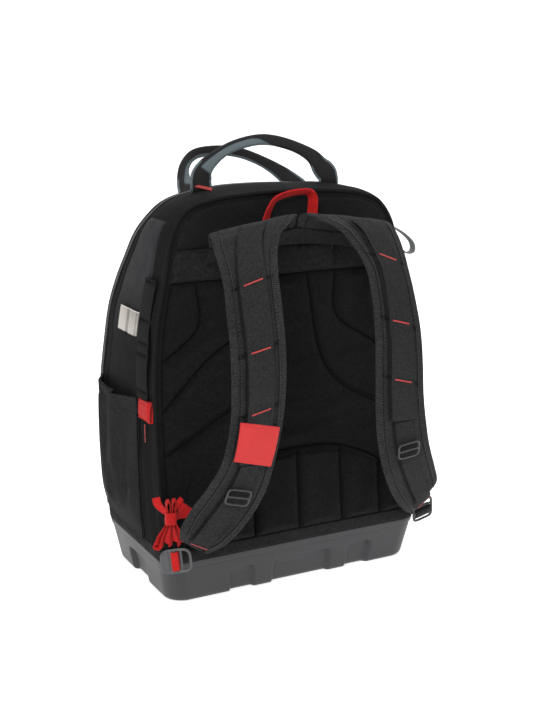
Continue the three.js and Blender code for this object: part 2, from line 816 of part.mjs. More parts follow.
for (const handle of handles) {
  const rootY = handle.y * halfDepth;
  const roots = [handle.line[0], handle.line[handle.line.length - 1]];
  const footHeights = roots.flatMap(({ half }) => [-0.5, 0, 0.5].map(
    (beside) => handle.surfaceAt(half * halfWidth + beside * handleRootWidth, rootY),
  ));
  const footZ = Math.max(...footHeights) + seat - handle.sink;
  const curve = new THREE.CatmullRomCurve3(handle.line.map(({ half, up }) => new THREE.Vector3(
    half * halfWidth, rootY + handle.lean * up, footZ + handleFoot + handle.rise * up,
  )), false, 'centripetal');
  const frames = [];
  for (let k = 0; k <= handleSteps; k++) {
    const middle = curve.getPoint(k / handleSteps);
    const tangent = curve.getTangent(k / handleSteps);
    const up = (middle.z - footZ - handleFoot) / handle.rise;
    const folded = smooth((up - foldFrom) / (foldTo - foldFrom));
    frames.push({
      middle,
      across: new THREE.Vector3(-tangent.z, 0, tangent.x),
      width: mix(handleRootWidth, handleGripHeight, folded),
      thickness: mix(handleRootThickness, handleThickness, folded),
    });
  }
  const feet = [frames[0], frames[handleSteps]].map((frame) => ({
    ...frame,
    middle: frame.middle.clone().setZ(footZ),
    across: new THREE.Vector3(1, 0, 0),
  }));
  frames[0].across.set(1, 0, 0);
  frames[handleSteps].across.set(1, 0, 0);
  addPiece(handle.name, band([feet[0], ...frames, feet[1]]), colours.webbing);
}

// The harness. Rows from the crest over the yoke down to the end of a strap: for the
// inner and the outer edge, the height as a share of the shell's, the distance from the
// middle as a share of half the width, and the distance off the back as a share of reach.
const strapRows = [
  { inRise: 0.904, outRise: 0.863, inHalf: 0.028, outHalf: 0.63, inOff: 0.25, outOff: 0.25 },
  { inRise: 0.93, outRise: 0.89, inHalf: 0.027, outHalf: 0.645, inOff: 0.3, outOff: 0.3 },
  { inRise: 0.941, outRise: 0.902, inHalf: 0.04, outHalf: 0.66, inOff: 0.38, outOff: 0.385 },
  { inRise: 0.925, outRise: 0.89, inHalf: 0.11, outHalf: 0.67, inOff: 0.49, outOff: 0.49 },
  { inRise: 0.9, outRise: 0.862, inHalf: 0.21, outHalf: 0.68, inOff: 0.59, outOff: 0.585 },
  { inRise: 0.857, outRise: 0.823, inHalf: 0.275, outHalf: 0.68, inOff: 0.71, outOff: 0.69 },
  { inRise: 0.797, outRise: 0.78, inHalf: 0.32, outHalf: 0.68, inOff: 0.865, outOff: 0.775 },
  { inRise: 0.716, outRise: 0.712, inHalf: 0.33, outHalf: 0.69, inOff: 0.955, outOff: 0.86 },
  { inRise: 0.608, outRise: 0.608, inHalf: 0.33, outHalf: 0.70, inOff: 1, outOff: 0.955 },
  { inRise: 0.51, outRise: 0.51, inHalf: 0.332, outHalf: 0.708, inOff: 0.98, outOff: 0.965 },
  { inRise: 0.413, outRise: 0.413, inHalf: 0.345, outHalf: 0.72, inOff: 0.92, outOff: 0.935 },
  { inRise: 0.294, outRise: 0.3, inHalf: 0.385, outHalf: 0.775, inOff: 0.82, outOff: 0.845 },
  { inRise: 0.185, outRise: 0.229, inHalf: 0.46, outHalf: 0.85, inOff: 0.73, outOff: 0.71 },
  { inRise: 0.1, outRise: 0.164, inHalf: 0.57, outHalf: 0.935, inOff: 0.61, outOff: 0.565 },
  { inRise: 0.046, outRise: 0.11, inHalf: 0.68, outHalf: 0.985, inOff: 0.505, outOff: 0.47 },
  { inRise: 0.016, outRise: 0.067, inHalf: 0.78, outHalf: 0.965, inOff: 0.375, outOff: 0.335 },
];
function harnessPoint(sign, half, rise, off) {
  const z = upTo(rise);
  return new THREE.Vector3(sign * across(half), backAt(z) - off * strapReach, z);
}
function harness(sign) {
  const inner = new THREE.CatmullRomCurve3(strapRows.map(
    (row) => harnessPoint(sign, row.inHalf, row.inRise, row.inOff),
  ));
  const outer = new THREE.CatmullRomCurve3(strapRows.map(
    (row) => harnessPoint(sign, row.outHalf, row.outRise, row.outOff),
  ));
  const middleAt = (t) => inner.getPoint(t).add(outer.getPoint(t)).multiplyScalar(0.5);
  // The frame of the strap at a station from 0, the crest, to 1, its end; out points away
  // from the bag's back.
  return (t) => {
    const middle = middleAt(t);
    const span = outer.getPoint(t).sub(inner.getPoint(t));
    const width = span.length();
    const cross = span.clone().normalize();
    const ahead = middleAt(Math.min(t + 0.005, 1));
    const behind = middleAt(Math.max(t - 0.005, 0));
    const along = ahead.sub(behind).normalize();
    along.addScaledVector(cross, -along.dot(cross)).normalize();
    const out = along.clone().cross(cross).multiplyScalar(sign);
    return { middle, cross, along, out, width };
  };
}
const strapSection = [
  { at: -0.5, thick: -1 }, { at: -0.4, thick: -2 }, { at: 0.4, thick: -2 }, { at: 0.5, thick: -1 },
  { at: 0.5, thick: 1 }, { at: 0.4, thick: 2 }, { at: -0.4, thick: 2 }, { at: -0.5, thick: 1 },
];
const strapSteps = 30;
const strapFace = strapThickness / 2;
function onStrap(frame, beside, lift) {
  return frame.middle.clone().addScaledVector(frame.cross, beside).addScaledVector(frame.out, lift);
}
function strapBand(frameAt, from, to, width, thickness, lift) {
  const steps = Math.ceil((to - from) * strapSteps - 1e-6);
  return wallBetween((u, v, layer) => {
    const frame = frameAt(Math.max(to - (1 - v) * (steps / strapSteps), from));
    return onStrap(frame, mix(-0.5, 0.5, u) * width, lift + (layer ? thickness : 0));
  }, 2, steps);
}

// Where things lie along a strap, as stations from its crest to its end. What lies flat
// on the strap bends where the strap does, at whole steps.
const webbingStart = 6 / strapSteps;
const lowerEnd = 29 / strapSteps;
const harnessSides = [
  { name: 'left', sign: -1, webbingEnd: 22 / strapSteps, sliderStation: 0.8 },
  { name: 'right', sign: 1, webbingEnd: 21 / strapSteps, sliderStation: 0.757 },
];
const webbingBreak = 0.003;
const labelFrom = 20 / strapSteps;
const labelTo = 22 / strapSteps;
const webbingLift = strapFace + twistSeat;
const stackLift = webbingLift + webbingThickness + clothSeat;

const frameOf = {};
for (const { name, sign, webbingEnd } of harnessSides) {
  const frameAt = harness(sign);
  frameOf[name] = frameAt;
  const rings = [];
  for (let k = 0; k <= strapSteps; k++) {
    const frame = frameAt(k / strapSteps);
    rings.push(strapSection.map(({ at, thick }) => onStrap(frame, at * frame.width,
      (Math.abs(thick) > 1 ? strapThickness : strapEdge) * Math.sign(thick) / 2)));
  }
  addPiece(`shoulder_strap_${name}`, loft(rings), colours.cloth);
  addPiece(`strap_webbing_${name}`, strapBand(frameAt, webbingStart, webbingEnd, webbingWidth,
    webbingThickness, webbingLift), colours.webbing);
  addPiece(`lower_webbing_${name}`, strapBand(frameAt, webbingEnd + webbingBreak, lowerEnd,
    lowerWebbingWidth, webbingThickness, webbingLift), colours.webbing);
}
addPiece('label_patch', strapBand(frameOf.left, labelFrom, labelTo, labelWidth, labelThickness,
  stackLift), colours.red, 0.75);

// The yoke joins both straps to the back, from its seam on the back up to their roots.
const yokeRoot = { centre: 0.848, side: 0.81 };
const yokeSteps = 14;
const yokeDrop = 0.0045;
const yokeSeam = clothSeat + bandPad + clothSeat;
addPiece('yoke', wallBetween((u, v, layer) => {
  const sideways = mix(-1, 1, u);
  const away = Math.abs(sideways);
  const first = strapRows[0];
  const topRise = mix(first.inRise, first.outRise, away) - yokeDrop;
  const topOff = mix(first.inOff, first.outOff, away) * strapReach;
  const rootRise = mix(yokeRoot.centre, yokeRoot.side, away ** 2);
  const z = upTo(mix(rootRise, topRise, v));
  const middle = mix(yokeSeam + yokeThickness / 2, topOff, v ** 1.15);
  const off = middle + (layer ? 0.5 : -0.5) * yokeThickness;
  return new THREE.Vector3(across(sideways * first.outHalf), backAt(z) - off, z);
}, yokeSteps, 4), colours.cloth);

// The hang loop above the yoke: two legs and a flat top
const hangLegs = [
  { side: -0.52, up: 0 }, { side: -0.5, up: 0.2 }, { side: -0.43, up: 0.5 }, { side: -0.3, up: 0.8 },
  { side: -0.1, up: 0.93 }, { side: 0.2, up: 1 }, { side: 0.42, up: 0.97 }, { side: 0.49, up: 0.82 },
  { side: 0.48, up: 0.5 }, { side: 0.46, up: 0 },
];
const hangBase = upTo(0.9);
const hangMiddle = clothSeat + panelPad + clothSeat + grabLoopWidth / 2;
const hangCurve = new THREE.CatmullRomCurve3(hangLegs.map((row) => {
  const z = hangBase + row.up * grabLoopRise;
  return new THREE.Vector3(row.side * grabLoopSpan, backAt(z) - hangMiddle, z);
}));
addPiece('grab_loop', band(alongCurve(hangCurve, 24, new THREE.Vector3(0, 1, 0), grabLoopWidth,
  2)), colours.red);

// Slide adjusters on the lower webbing, and ladder locks at the ends of the straps
function plateWithSlots(length, width, round, slots, thickness) {
  const shape = new THREE.Shape();
  shape.moveTo(0, -width / 2);
  shape.lineTo(length - round, -width / 2);
  shape.quadraticCurveTo(length, -width / 2, length, -width / 2 + round);
  shape.lineTo(length, width / 2 - round);
  shape.quadraticCurveTo(length, width / 2, length - round, width / 2);
  shape.lineTo(0, width / 2);
  const settings = { depth: thickness, bevelEnabled: false, curveSegments: 6 };
  let plate = solidOf(new THREE.ExtrudeGeometry(shape, settings));
  for (const slot of slots) {
    const cutter = new THREE.BoxGeometry(slot.to - slot.from, slot.width, 3 * thickness);
    cutter.translate((slot.from + slot.to) / 2, 0, thickness / 2);
    plate = plate.subtract(solidOf(cutter));
  }
  return geometryOf(plate);
}
// Lays a plate drawn in x (along), y (across) and z (out) into a frame
function layInto(geometry, origin, along, cross, out) {
  const basis = new THREE.Matrix4().makeBasis(along, cross, out);
  basis.setPosition(origin);
  geometry.applyMatrix4(basis);
  const merged = mergeVertices(stripped(geometry), 1e-4);
  return closedGeometry(Array.from(merged.attributes.position.array), Array.from(merged.index.array));
}
const slotHalf = (sliderFrameLength - 3 * sliderFrameBar) / 2;
const sliderSlots = [0, 1].map((k) => ({
  from: sliderFrameBar + k * (slotHalf + sliderFrameBar),
  to: sliderFrameBar + k * (slotHalf + sliderFrameBar) + slotHalf,
  width: sliderFrameWidth - 2 * sliderFrameBar,
}));
for (const { name, sliderStation } of harnessSides) {
  const frame = frameOf[name](sliderStation);
  const origin = onStrap(frame, 0, stackLift + seat).addScaledVector(frame.along, -sliderFrameLength / 2);
  const turnedCross = frame.out.clone().cross(frame.along);
  const plate = plateWithSlots(sliderFrameLength, sliderFrameWidth, 3, sliderSlots, sliderFrameThickness);
  addPiece(`strap_slider_${name}`, layInto(plate, origin, frame.along, turnedCross, frame.out),
    colours.buckle, 0.5);
}

// Ladder lock: slots and bars as shares of its length, from the bar at the strap's end
const lockSlots = [
  { from: 0.07, to: 0.3, width: lockSlotWidth },
  { from: 0.37, to: 0.48, width: lockSlotWidth },
  { from: 0.59, to: 0.7, width: lockSlotWidth },
].map((slot) => ({ from: slot.from * lockLength, to: slot.to * lockLength, width: slot.width }));
const lockRound = lockWidth * 0.42;
const lockClear = 1;

// The left lock hangs turned towards the bag's corner, the right one in line with its strap
const leftEnd = frameOf.left(1);
const leftLockAlong = new THREE.Vector3(-0.886, 0.4, -0.1).normalize();
const leftLockOut = new THREE.Vector3(-0.42, -0.9, 0.12);
const rightEnd = frameOf.right(1);
const locks = [
  { name: 'left', end: leftEnd, along: leftLockAlong, out: leftLockOut, drop: 22, beside: 3, lift: -4 },
  { name: 'right', end: rightEnd, along: rightEnd.along.clone(), out: rightEnd.out.clone(), drop: 0,
    beside: 10, lift: 0 },
];
for (const lock of locks) {
  const outDirection = lock.out.clone();
  outDirection.addScaledVector(lock.along, -outDirection.dot(lock.along)).normalize();
  const cross = outDirection.clone().cross(lock.along);
  const origin = onStrap(lock.end, lock.beside, lock.lift)
    .addScaledVector(lock.along, lockClear)
    .add(new THREE.Vector3(0, 0, -lock.drop));
  const plate = plateWithSlots(lockLength, lockWidth, lockRound, lockSlots, lockThickness);
  const centred = origin.clone().addScaledVector(outDirection, -lockThickness / 2);
  addPiece(`ladder_lock_${lock.name}`, layInto(plate, centred, lock.along, cross, outDirection),
    colours.buckle, 0.45);

  // The red adjuster comes from the bag's corner, over the lock's middle bar, and back
  const sign = lock.name === 'left' ? -1 : 1;
  const local = (u, n) => origin.clone()
    .addScaledVector(lock.along, u * lockLength)
    .addScaledVector(outDirection, n);
  const corner = tubCorner * (1 - Math.SQRT1_2) - bindingProud * Math.SQRT1_2;
  const anchorOut = clothSeat * 2;
  const anchor = new THREE.Vector3(
    sign * (halfWidth - corner + anchorOut), -halfDepth + corner - anchorOut, bindingTop - adjusterWidth / 2,
  );
  const diagonal = new THREE.Vector3(sign, -1, 0).normalize();
  const route = [
    anchor,
    anchor.clone().addScaledVector(diagonal, 3),
    anchor.clone().addScaledVector(diagonal, 4).lerp(local(0.4, -5), 0.55),
    local(0.415, -4.5),
    local(0.425, 0),
    local(0.47, 3.6),
    local(0.6, 3.6),
    local(0.645, 0),
    local(0.66, -4.5),
    local(0.7, -8),
  ];
  const curve = new THREE.CatmullRomCurve3(route, false, 'centripetal');
  addPiece(`adjuster_webbing_${lock.name}`, band(alongCurve(curve, 22, cross, adjusterWidth,
    adjusterThickness)), colours.red, 0.8);

  // Where a folded tail stands: over the lock's upper edge, behind the adjuster
  lock.foot = local(0.55, -8).add(new THREE.Vector3(0, 0, lockWidth / 2 + clothSeat + seat * 3));
}

const waist = wrapWidth / 2 - wrapThickness - seat;
function tailShape() {
  const low = 0;
  const high = tailHeight;
  const waistLow = tailHeight * 0.42;
  const waistHigh = waistLow + wrapHeight;
  const half = tailWidth / 2;
  const shape = new THREE.Shape();
  shape.moveTo(-half * 0.95, low + 6);
  shape.lineTo(-half * 0.5, low);
  shape.lineTo(-half * 0.05, low + 9);
  shape.lineTo(half * 0.35, low + 1);
  shape.lineTo(half * 0.95, low + 4);
  shape.lineTo(waist, waistLow);
  shape.lineTo(waist, waistHigh);
  shape.lineTo(half * 0.41, waistHigh);
  shape.lineTo(half * 0.38, waistLow - 2);
  shape.lineTo(half * 1.5, high * 0.63);
  shape.lineTo(half * 0.6, high * 0.91);
  shape.lineTo(half * 0.4, high * 0.93);
  shape.lineTo(0, high * 0.88);
  shape.lineTo(-half * 0.3, high * 0.96);
  shape.lineTo(-half * 0.9, high);
  shape.lineTo(-half, high * 0.8);
  shape.lineTo(-waist, waistHigh);
  shape.lineTo(-waist, waistLow);
  return shape;
}
const tailFacing = new THREE.Vector3(-0.3, -1, 0).normalize();
const tailUp = new THREE.Vector3(0, 0, 1);
const tailSide = tailUp.clone().cross(tailFacing).normalize();
const tailFoot = locks[0].foot;
const tailOrigin = tailFoot.clone().addScaledVector(tailFacing, -tailThickness / 2);
const tailPlate = new THREE.ExtrudeGeometry(tailShape(), { depth: tailThickness, bevelEnabled: false });
addPiece('tail_bundle', layInto(tailPlate, tailOrigin, tailSide, tailUp, tailFacing), colours.red);
const ringOut = wrapWidth / 2;
const wrapShape = new THREE.Shape([
  new THREE.Vector2(-ringOut, -tailThickness / 2 - seat - wrapThickness),
  new THREE.Vector2(ringOut, -tailThickness / 2 - seat - wrapThickness),
  new THREE.Vector2(ringOut, tailThickness / 2 + seat + wrapThickness),
  new THREE.Vector2(-ringOut, tailThickness / 2 + seat + wrapThickness),
]);
const ringIn = ringOut - wrapThickness;
wrapShape.holes.push(new THREE.Path([
  new THREE.Vector2(-ringIn, -tailThickness / 2 - seat),
  new THREE.Vector2(-ringIn, tailThickness / 2 + seat),
  new THREE.Vector2(ringIn, tailThickness / 2 + seat),
  new THREE.Vector2(ringIn, -tailThickness / 2 - seat),
]));
const wrapPlate = new THREE.ExtrudeGeometry(wrapShape, { depth: wrapHeight - 2, bevelEnabled: false });
addPiece('tail_wrap', layInto(wrapPlate,
  tailFoot.clone().add(new THREE.Vector3(0, 0, tailHeight * 0.42 + 1)),
  tailSide, tailFacing.clone().negate(), tailUp), colours.red);

export default group;
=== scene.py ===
# A tool backpack, dressed on its CAD frame: cloth, webbing, padding and a moulded tub.
# Metres, +Z up, -Y towards the wearer's side.
import json
import math

import bpy
import numpy as np
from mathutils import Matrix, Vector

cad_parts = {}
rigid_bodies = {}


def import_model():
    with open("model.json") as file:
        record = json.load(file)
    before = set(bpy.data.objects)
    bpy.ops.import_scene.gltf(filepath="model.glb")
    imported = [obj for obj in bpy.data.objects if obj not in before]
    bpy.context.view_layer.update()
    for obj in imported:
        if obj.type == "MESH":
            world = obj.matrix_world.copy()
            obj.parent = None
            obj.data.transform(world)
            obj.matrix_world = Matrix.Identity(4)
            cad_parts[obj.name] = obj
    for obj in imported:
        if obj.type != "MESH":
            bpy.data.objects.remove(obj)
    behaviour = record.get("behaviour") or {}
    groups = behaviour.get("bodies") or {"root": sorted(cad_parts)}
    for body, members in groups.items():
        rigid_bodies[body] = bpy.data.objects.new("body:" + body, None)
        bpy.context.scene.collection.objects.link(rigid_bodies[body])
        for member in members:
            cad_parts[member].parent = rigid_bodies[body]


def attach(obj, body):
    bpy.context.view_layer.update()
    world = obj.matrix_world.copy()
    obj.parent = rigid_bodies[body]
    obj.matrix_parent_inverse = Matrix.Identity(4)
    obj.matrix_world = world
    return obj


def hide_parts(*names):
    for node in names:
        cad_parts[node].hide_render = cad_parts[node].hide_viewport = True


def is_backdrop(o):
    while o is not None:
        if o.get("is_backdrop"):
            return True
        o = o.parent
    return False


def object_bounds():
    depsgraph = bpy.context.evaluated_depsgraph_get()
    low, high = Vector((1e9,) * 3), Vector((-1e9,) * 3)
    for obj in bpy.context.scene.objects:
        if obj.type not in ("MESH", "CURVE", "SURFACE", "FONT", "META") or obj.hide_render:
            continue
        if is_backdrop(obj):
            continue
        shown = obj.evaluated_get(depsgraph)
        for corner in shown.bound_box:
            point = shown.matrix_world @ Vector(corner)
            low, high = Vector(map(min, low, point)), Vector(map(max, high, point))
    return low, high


for thing in list(bpy.data.objects):
    bpy.data.objects.remove(thing)
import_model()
solid_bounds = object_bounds()


# Camera, light and floor
# The camera stands left of the wearer's side and a little above. One large lamp lights from
# the upper left, with a weak fill and a top lamp. A white sheet is floor and backdrop.
view = bpy.data.objects.new("view", bpy.data.cameras.new("view"))
bpy.context.scene.collection.objects.link(view)
view.location = (-0.777, -1.511, 0.717)
view_turn = math.radians(-27.62)
view.rotation_euler = (math.radians(90 - 13.97), 0, view_turn)
view.data.lens = 61.6
view.data.sensor_width = 36
bpy.context.scene.camera = view

room = bpy.data.worlds.new("room")
room.use_nodes = True
room.node_tree.nodes["Background"].inputs["Color"].default_value = (1, 1, 1, 1)
room.node_tree.nodes["Background"].inputs["Strength"].default_value = 0.22
bpy.context.scene.world = room
bpy.context.scene.view_settings.view_transform = "Standard"

for name, place, aim, size, power in [
    ("key", (-1.5, -1.9, 2.4), (0, 0, 0.3), 1.3, 75),
    ("fill", (1.9, -1.8, 0.9), (0, 0, 0.3), 1.6, 16),
    ("top", (0.1, 0.5, 2.6), (0, 0, 0.3), 1.2, 34),
]:
    lamp = bpy.data.objects.new(name, bpy.data.lights.new(name, "AREA"))
    lamp.data.size = size
    lamp.data.energy = power
    lamp.location = place
    away = np.array(place) - np.array(aim)
    lamp.rotation_euler = (
        math.atan2(math.hypot(away[0], away[1]), away[2]), 0,
        math.atan2(away[1], away[0]) + math.pi / 2,
    )
    bpy.context.scene.collection.objects.link(lamp)


class Sock:
    """An output of a material's node tree. Arithmetic on it adds Math nodes."""

    def __init__(self, tree, socket):
        self.tree = tree
        self.socket = socket

    def maths(self, operation, *others, turned=False):
        node = self.tree.nodes.new("ShaderNodeMath")
        node.operation = operation
        values = (*others, self) if turned else (self, *others)
        for k, value in enumerate(values):
            feed(self.tree, node.inputs[k], value)
        return Sock(self.tree, node.outputs[0])

    def __add__(self, other):
        return self.maths("ADD", other)

    __radd__ = __add__

    def __sub__(self, other):
        return self.maths("SUBTRACT", other)

    def __rsub__(self, other):
        return self.maths("SUBTRACT", other, turned=True)

    def __mul__(self, other):
        return self.maths("MULTIPLY", other)

    __rmul__ = __mul__

    def __truediv__(self, other):
        return self.maths("DIVIDE", other)

    def __abs__(self):
        return self.maths("ABSOLUTE")

    def __lt__(self, other):
        return self.maths("LESS_THAN", other)

    def __gt__(self, other):
        return self.maths("GREATER_THAN", other)


def feed(tree, socket, value):
    """Links a Sock to an input, or sets the input to a number, colour or vector."""
    if isinstance(value, Sock):
        tree.links.new(value.socket, socket)
    elif isinstance(value, tuple) and len(value) == 3 and socket.type == "RGBA":
        socket.default_value = (*value, 1)
    else:
        socket.default_value = value


class Finish:
    """A material with its Principled shader."""

    def __init__(self, name, settings=()):
        self.material = bpy.data.materials.new(name)
        self.material.use_nodes = True
        self.tree = self.material.node_tree
        self.shader = self.tree.nodes["Principled BSDF"]
        for socket, value in dict(settings).items():
            self.wear(socket, value)

    def wear(self, socket, value):
        feed(self.tree, self.shader.inputs[socket], value)

    def add(self, kind, settings, inputs, out=0):
        node = self.tree.nodes.new("ShaderNode" + kind)
        for key, value in settings.items():
            if key == "stops":
                for k, (at, colour) in enumerate(value):
                    stops = node.color_ramp.elements
                    stop = stops[k] if k < 2 else stops.new(at)
                    stop.position = at
                    stop.color = (*colour, 1)
            else:
                setattr(node, key, value)
        for key, value in inputs.items():
            feed(self.tree, node.inputs[key], value)
        return Sock(self.tree, node.outputs[out])

    def cloth_uv(self):
        """The piece's own cloth map in metres, as two values."""
        uv = self.add("UVMap", {"uv_map": "cloth"}, {})
        return self.add("SeparateXYZ", {}, {0: uv}), self.add("SeparateXYZ", {}, {0: uv}, out=1)

    def noise(self, scale, detail=3.0, rough=0.55):
        """Noise in the object's own space, of about 1/scale metres."""
        place = self.add("TexCoord", {}, {}, out=3)
        return self.add(
            "TexNoise", {}, {"Vector": place, "Scale": scale, "Detail": detail, "Roughness": rough}
        )

    def blend(self, share, first, second):
        """A colour that goes from the first to the second with the share."""
        return self.add("Mix", {"data_type": "RGBA"}, {0: share, 6: first, 7: second}, out=2)

    def bump(self, height, distance, strength=1.0):
        self.wear(
            "Normal",
            self.add("Bump", {}, {"Height": height, "Distance": distance, "Strength": strength})
        )


def woven(name, dark, light, pitch, depth, rough=0.85, sheen=0.0, along=1.0, mottling=0.35,
          seam_shade=False):
    """A woven cloth: threads over and under each other, as sin(pi u/p) sin(pi v/p), with a
    colour that varies thread by thread and in broad patches. Where a piece marks its seam
    grooves, painted shade darkens the cloth there."""
    finish = Finish(name)
    u, v = finish.cloth_uv()
    thread = (u * (math.pi / pitch)).maths("SINE") * (v * (math.pi / (pitch * along))).maths("SINE")
    grain = finish.noise(1 / (pitch * 1.7), 2.0)
    patch = finish.noise(9.0, 4.0)
    share = 0.38 + thread * 0.25 + (grain - 0.5) * 1.7 + (patch - 0.5) * mottling
    colour = finish.blend(share, dark, light)
    if seam_shade:
        # Painted shade: the cloth goes nearly black along the marked seam grooves.
        painted_seam_shade = finish.add("Attribute", {"attribute_name": "seam_shade"}, {}, out=2)
        colour = finish.blend(painted_seam_shade * 0.92, colour, (0.0006, 0.0006, 0.0007))
    finish.wear("Base Color", colour)
    finish.wear("Roughness", rough + (grain - 0.5) * 0.2)
    finish.wear("Sheen Weight", sheen)
    finish.wear("Sheen Roughness", 0.45)
    finish.wear("Specular IOR Level", 0.10)
    finish.bump(thread * 0.5 + grain * 0.8, depth)
    return finish


def mesh_piece(name, points, faces, uv=None):
    """A mesh object from points, faces and one uv pair for each face corner."""
    mesh = bpy.data.meshes.new(name)
    mesh.from_pydata(
        np.asarray(points, float).reshape(-1, 3).tolist(), [], [list(f) for f in faces]
    )
    mesh.polygons.foreach_set("use_smooth", np.ones(len(mesh.polygons), bool))
    if uv is not None:
        mesh.uv_layers.new(name="cloth").data.foreach_set("uv", np.asarray(uv, np.float32).ravel())
    mesh.update()
    piece = bpy.data.objects.new(name, mesh)
    bpy.context.scene.collection.objects.link(piece)
    return piece


def quads(rows, columns, wrap_rows, wrap_columns, start=0):
    """Corner indices of a grid's quads, and the rows and columns of those corners."""
    i = np.arange(rows if wrap_rows else rows - 1)
    j = np.arange(columns if wrap_columns else columns - 1)
    i, j = (a.ravel() for a in np.meshgrid(i, j, indexing="ij"))
    row = np.stack([i, i + 1, i + 1, i], 1)
    column = np.stack([j, j, j + 1, j + 1], 1)
    return start + (row % rows) * columns + column % columns, row, column


def surface(name, points, uv, wrap_rows=False, wrap_columns=False, caps=False):
    """A surface through a grid of points. uv has one more row or column than points where
    the grid closes on itself. Caps close the two ends of a tube with a fan."""
    rows, columns = points.shape[:2]
    faces, row, column = quads(rows, columns, wrap_rows, wrap_columns)
    corner_uv = uv[row, column]
    flat = points.reshape(-1, 3)
    faces = faces.tolist()
    corner_uv = corner_uv.reshape(-1, 2)
    if caps:
        j = np.arange(columns)
        for end, first in ((0, 0), (rows - 1, 1)):
            here, right = end * columns + j, end * columns + (j + 1) % columns
            ring = (here, right) if first == 0 else (right, here)
            faces += np.stack([np.full(columns, len(flat)), *ring], 1).tolist()
            corner_uv = np.concatenate([corner_uv, np.repeat(uv[end, :columns], 3, axis=0)])
            flat = np.vstack([flat, points[end].mean(0)])
    return outward(mesh_piece(name, flat, faces, corner_uv))


def outward(piece):
    """Turns all faces over if the closed mesh has a negative volume."""
    mesh = piece.data
    mesh.calc_loop_triangles()
    points = np.empty(len(mesh.vertices) * 3)
    mesh.vertices.foreach_get("co", points)
    points = points.reshape(-1, 3)
    corners = np.empty(len(mesh.loop_triangles) * 3, np.int32)
    mesh.loop_triangles.foreach_get("vertices", corners)
    a, b, c = (points[corners.reshape(-1, 3)[:, k]] for k in range(3))
    if np.einsum("ij,ij->i", a, np.cross(b, c)).sum() < 0:
        mesh.flip_normals()
    return piece


def walled(name, outer, inner, uv):
    """A closed wall between two open grids of the same size."""
    rows, columns = outer.shape[:2]
    count = rows * columns
    faces, row, column = quads(rows, columns, False, False)
    back = faces[:, ::-1] + count
    edge = np.concatenate([
        np.arange(columns), np.arange(1, rows) * columns + columns - 1,
        (rows - 1) * columns + np.arange(columns - 2, -1, -1), np.arange(rows - 2, 0, -1) * columns,
    ])
    after = np.roll(edge, -1)
    rim = np.stack([after, edge, edge + count, after + count], 1)
    flat_uv = uv.reshape(-1, 2)
    corner_uv = np.concatenate([flat_uv[faces], flat_uv[back - count], flat_uv[rim % count]])
    piece = mesh_piece(
        name, np.concatenate([outer, inner]), np.concatenate([faces, back, rim]), corner_uv
    )
    return outward(piece)


def lengths(points, axis):
    """Distance run along one axis of a grid, averaged over the other, from 0."""
    steps = np.linalg.norm(np.diff(points, axis=axis), axis=-1).mean(1 - axis)
    return np.concatenate([[0], np.cumsum(steps)])


def cloth_map(points):
    """uv in metres for an open grid: run along its columns, and along its rows."""
    return np.stack(np.meshgrid(lengths(points, 1), lengths(points, 0)), -1)


def dress(piece, finish, slot, *nodes, fill=None, held=None, on=(), cut=None, area=None):
    piece.data.materials.append(finish.material)
    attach(piece, "root")
    if nodes:
        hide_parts(*nodes)
    return piece


def outline_area(width, run):
    """The area of a flat cut: its width at each place times the way to the next."""
    return float(((width[1:] + width[:-1]) / 2 * np.diff(run)).sum())


def mark(piece, name, values):
    """Stores one number for each point of a piece, for its material to read."""
    held = piece.data.attributes.new(name, "FLOAT", "POINT")
    padded = np.concatenate(
        [values.ravel(), np.full(len(piece.data.vertices) - values.size, values.ravel()[-1])]
    )
    held.data.foreach_set("value", padded.astype(np.float32))


def step(x, low, high):
    """Smooth step from 0 at low to 1 at high."""
    t = np.clip((x - low) / (high - low), 0, 1)
    return t * t * (3 - 2 * t)


def mix(a, b, t):
    return a + (b - a) * t


def ripple(u, v, wave, seed, count=7):
    """Soft unevenness of about one wavelength: a sum of seeded sines, from -1 to 1."""
    rng = np.random.default_rng(seed)
    angle = rng.uniform(0, math.tau, count)
    turns = rng.uniform(0.6, 1.7, count) * math.tau / wave
    phase = rng.uniform(0, math.tau, count)
    total = sum(
        np.sin(turns[k] * (u * math.cos(angle[k]) + v * math.sin(angle[k])) + phase[k])
        for k in range(count)
    )
    return total / count ** 0.5 / 1.4


def curve_through(points, t):
    """Centripetal Catmull-Rom curve through the points, at t from 0 to 1: on each span a
    cubic whose end slopes come from the square roots of the distances between points."""
    points = np.asarray(points, float)
    padded = np.vstack([2 * points[0] - points[1], points, 2 * points[-1] - points[-2]])
    place = np.clip(np.asarray(t, float), 0, 1) * (len(points) - 1)
    k = np.minimum(place.astype(int), len(points) - 2)
    w = (place - k)[..., None]
    x0, x1, x2, x3 = (padded[k + n] for n in range(4))
    d0, d1, d2 = (
        np.sqrt(np.linalg.norm(b - a, axis=-1))[..., None]
        for a, b in ((x0, x1), (x1, x2), (x2, x3))
    )
    s1 = ((x1 - x0) / d0 - (x2 - x0) / (d0 + d1) + (x2 - x1) / d1) * d1
    s2 = ((x2 - x1) / d1 - (x3 - x1) / (d1 + d2) + (x3 - x2) / d2) * d1
    return (
        x1 + s1 * w + (-3 * x1 + 3 * x2 - 2 * s1 - s2) * w ** 2
        + (2 * x1 - 2 * x2 + s1 + s2) * w ** 3
    )


def unit(vectors):
    return vectors / np.linalg.norm(vectors, axis=-1, keepdims=True)


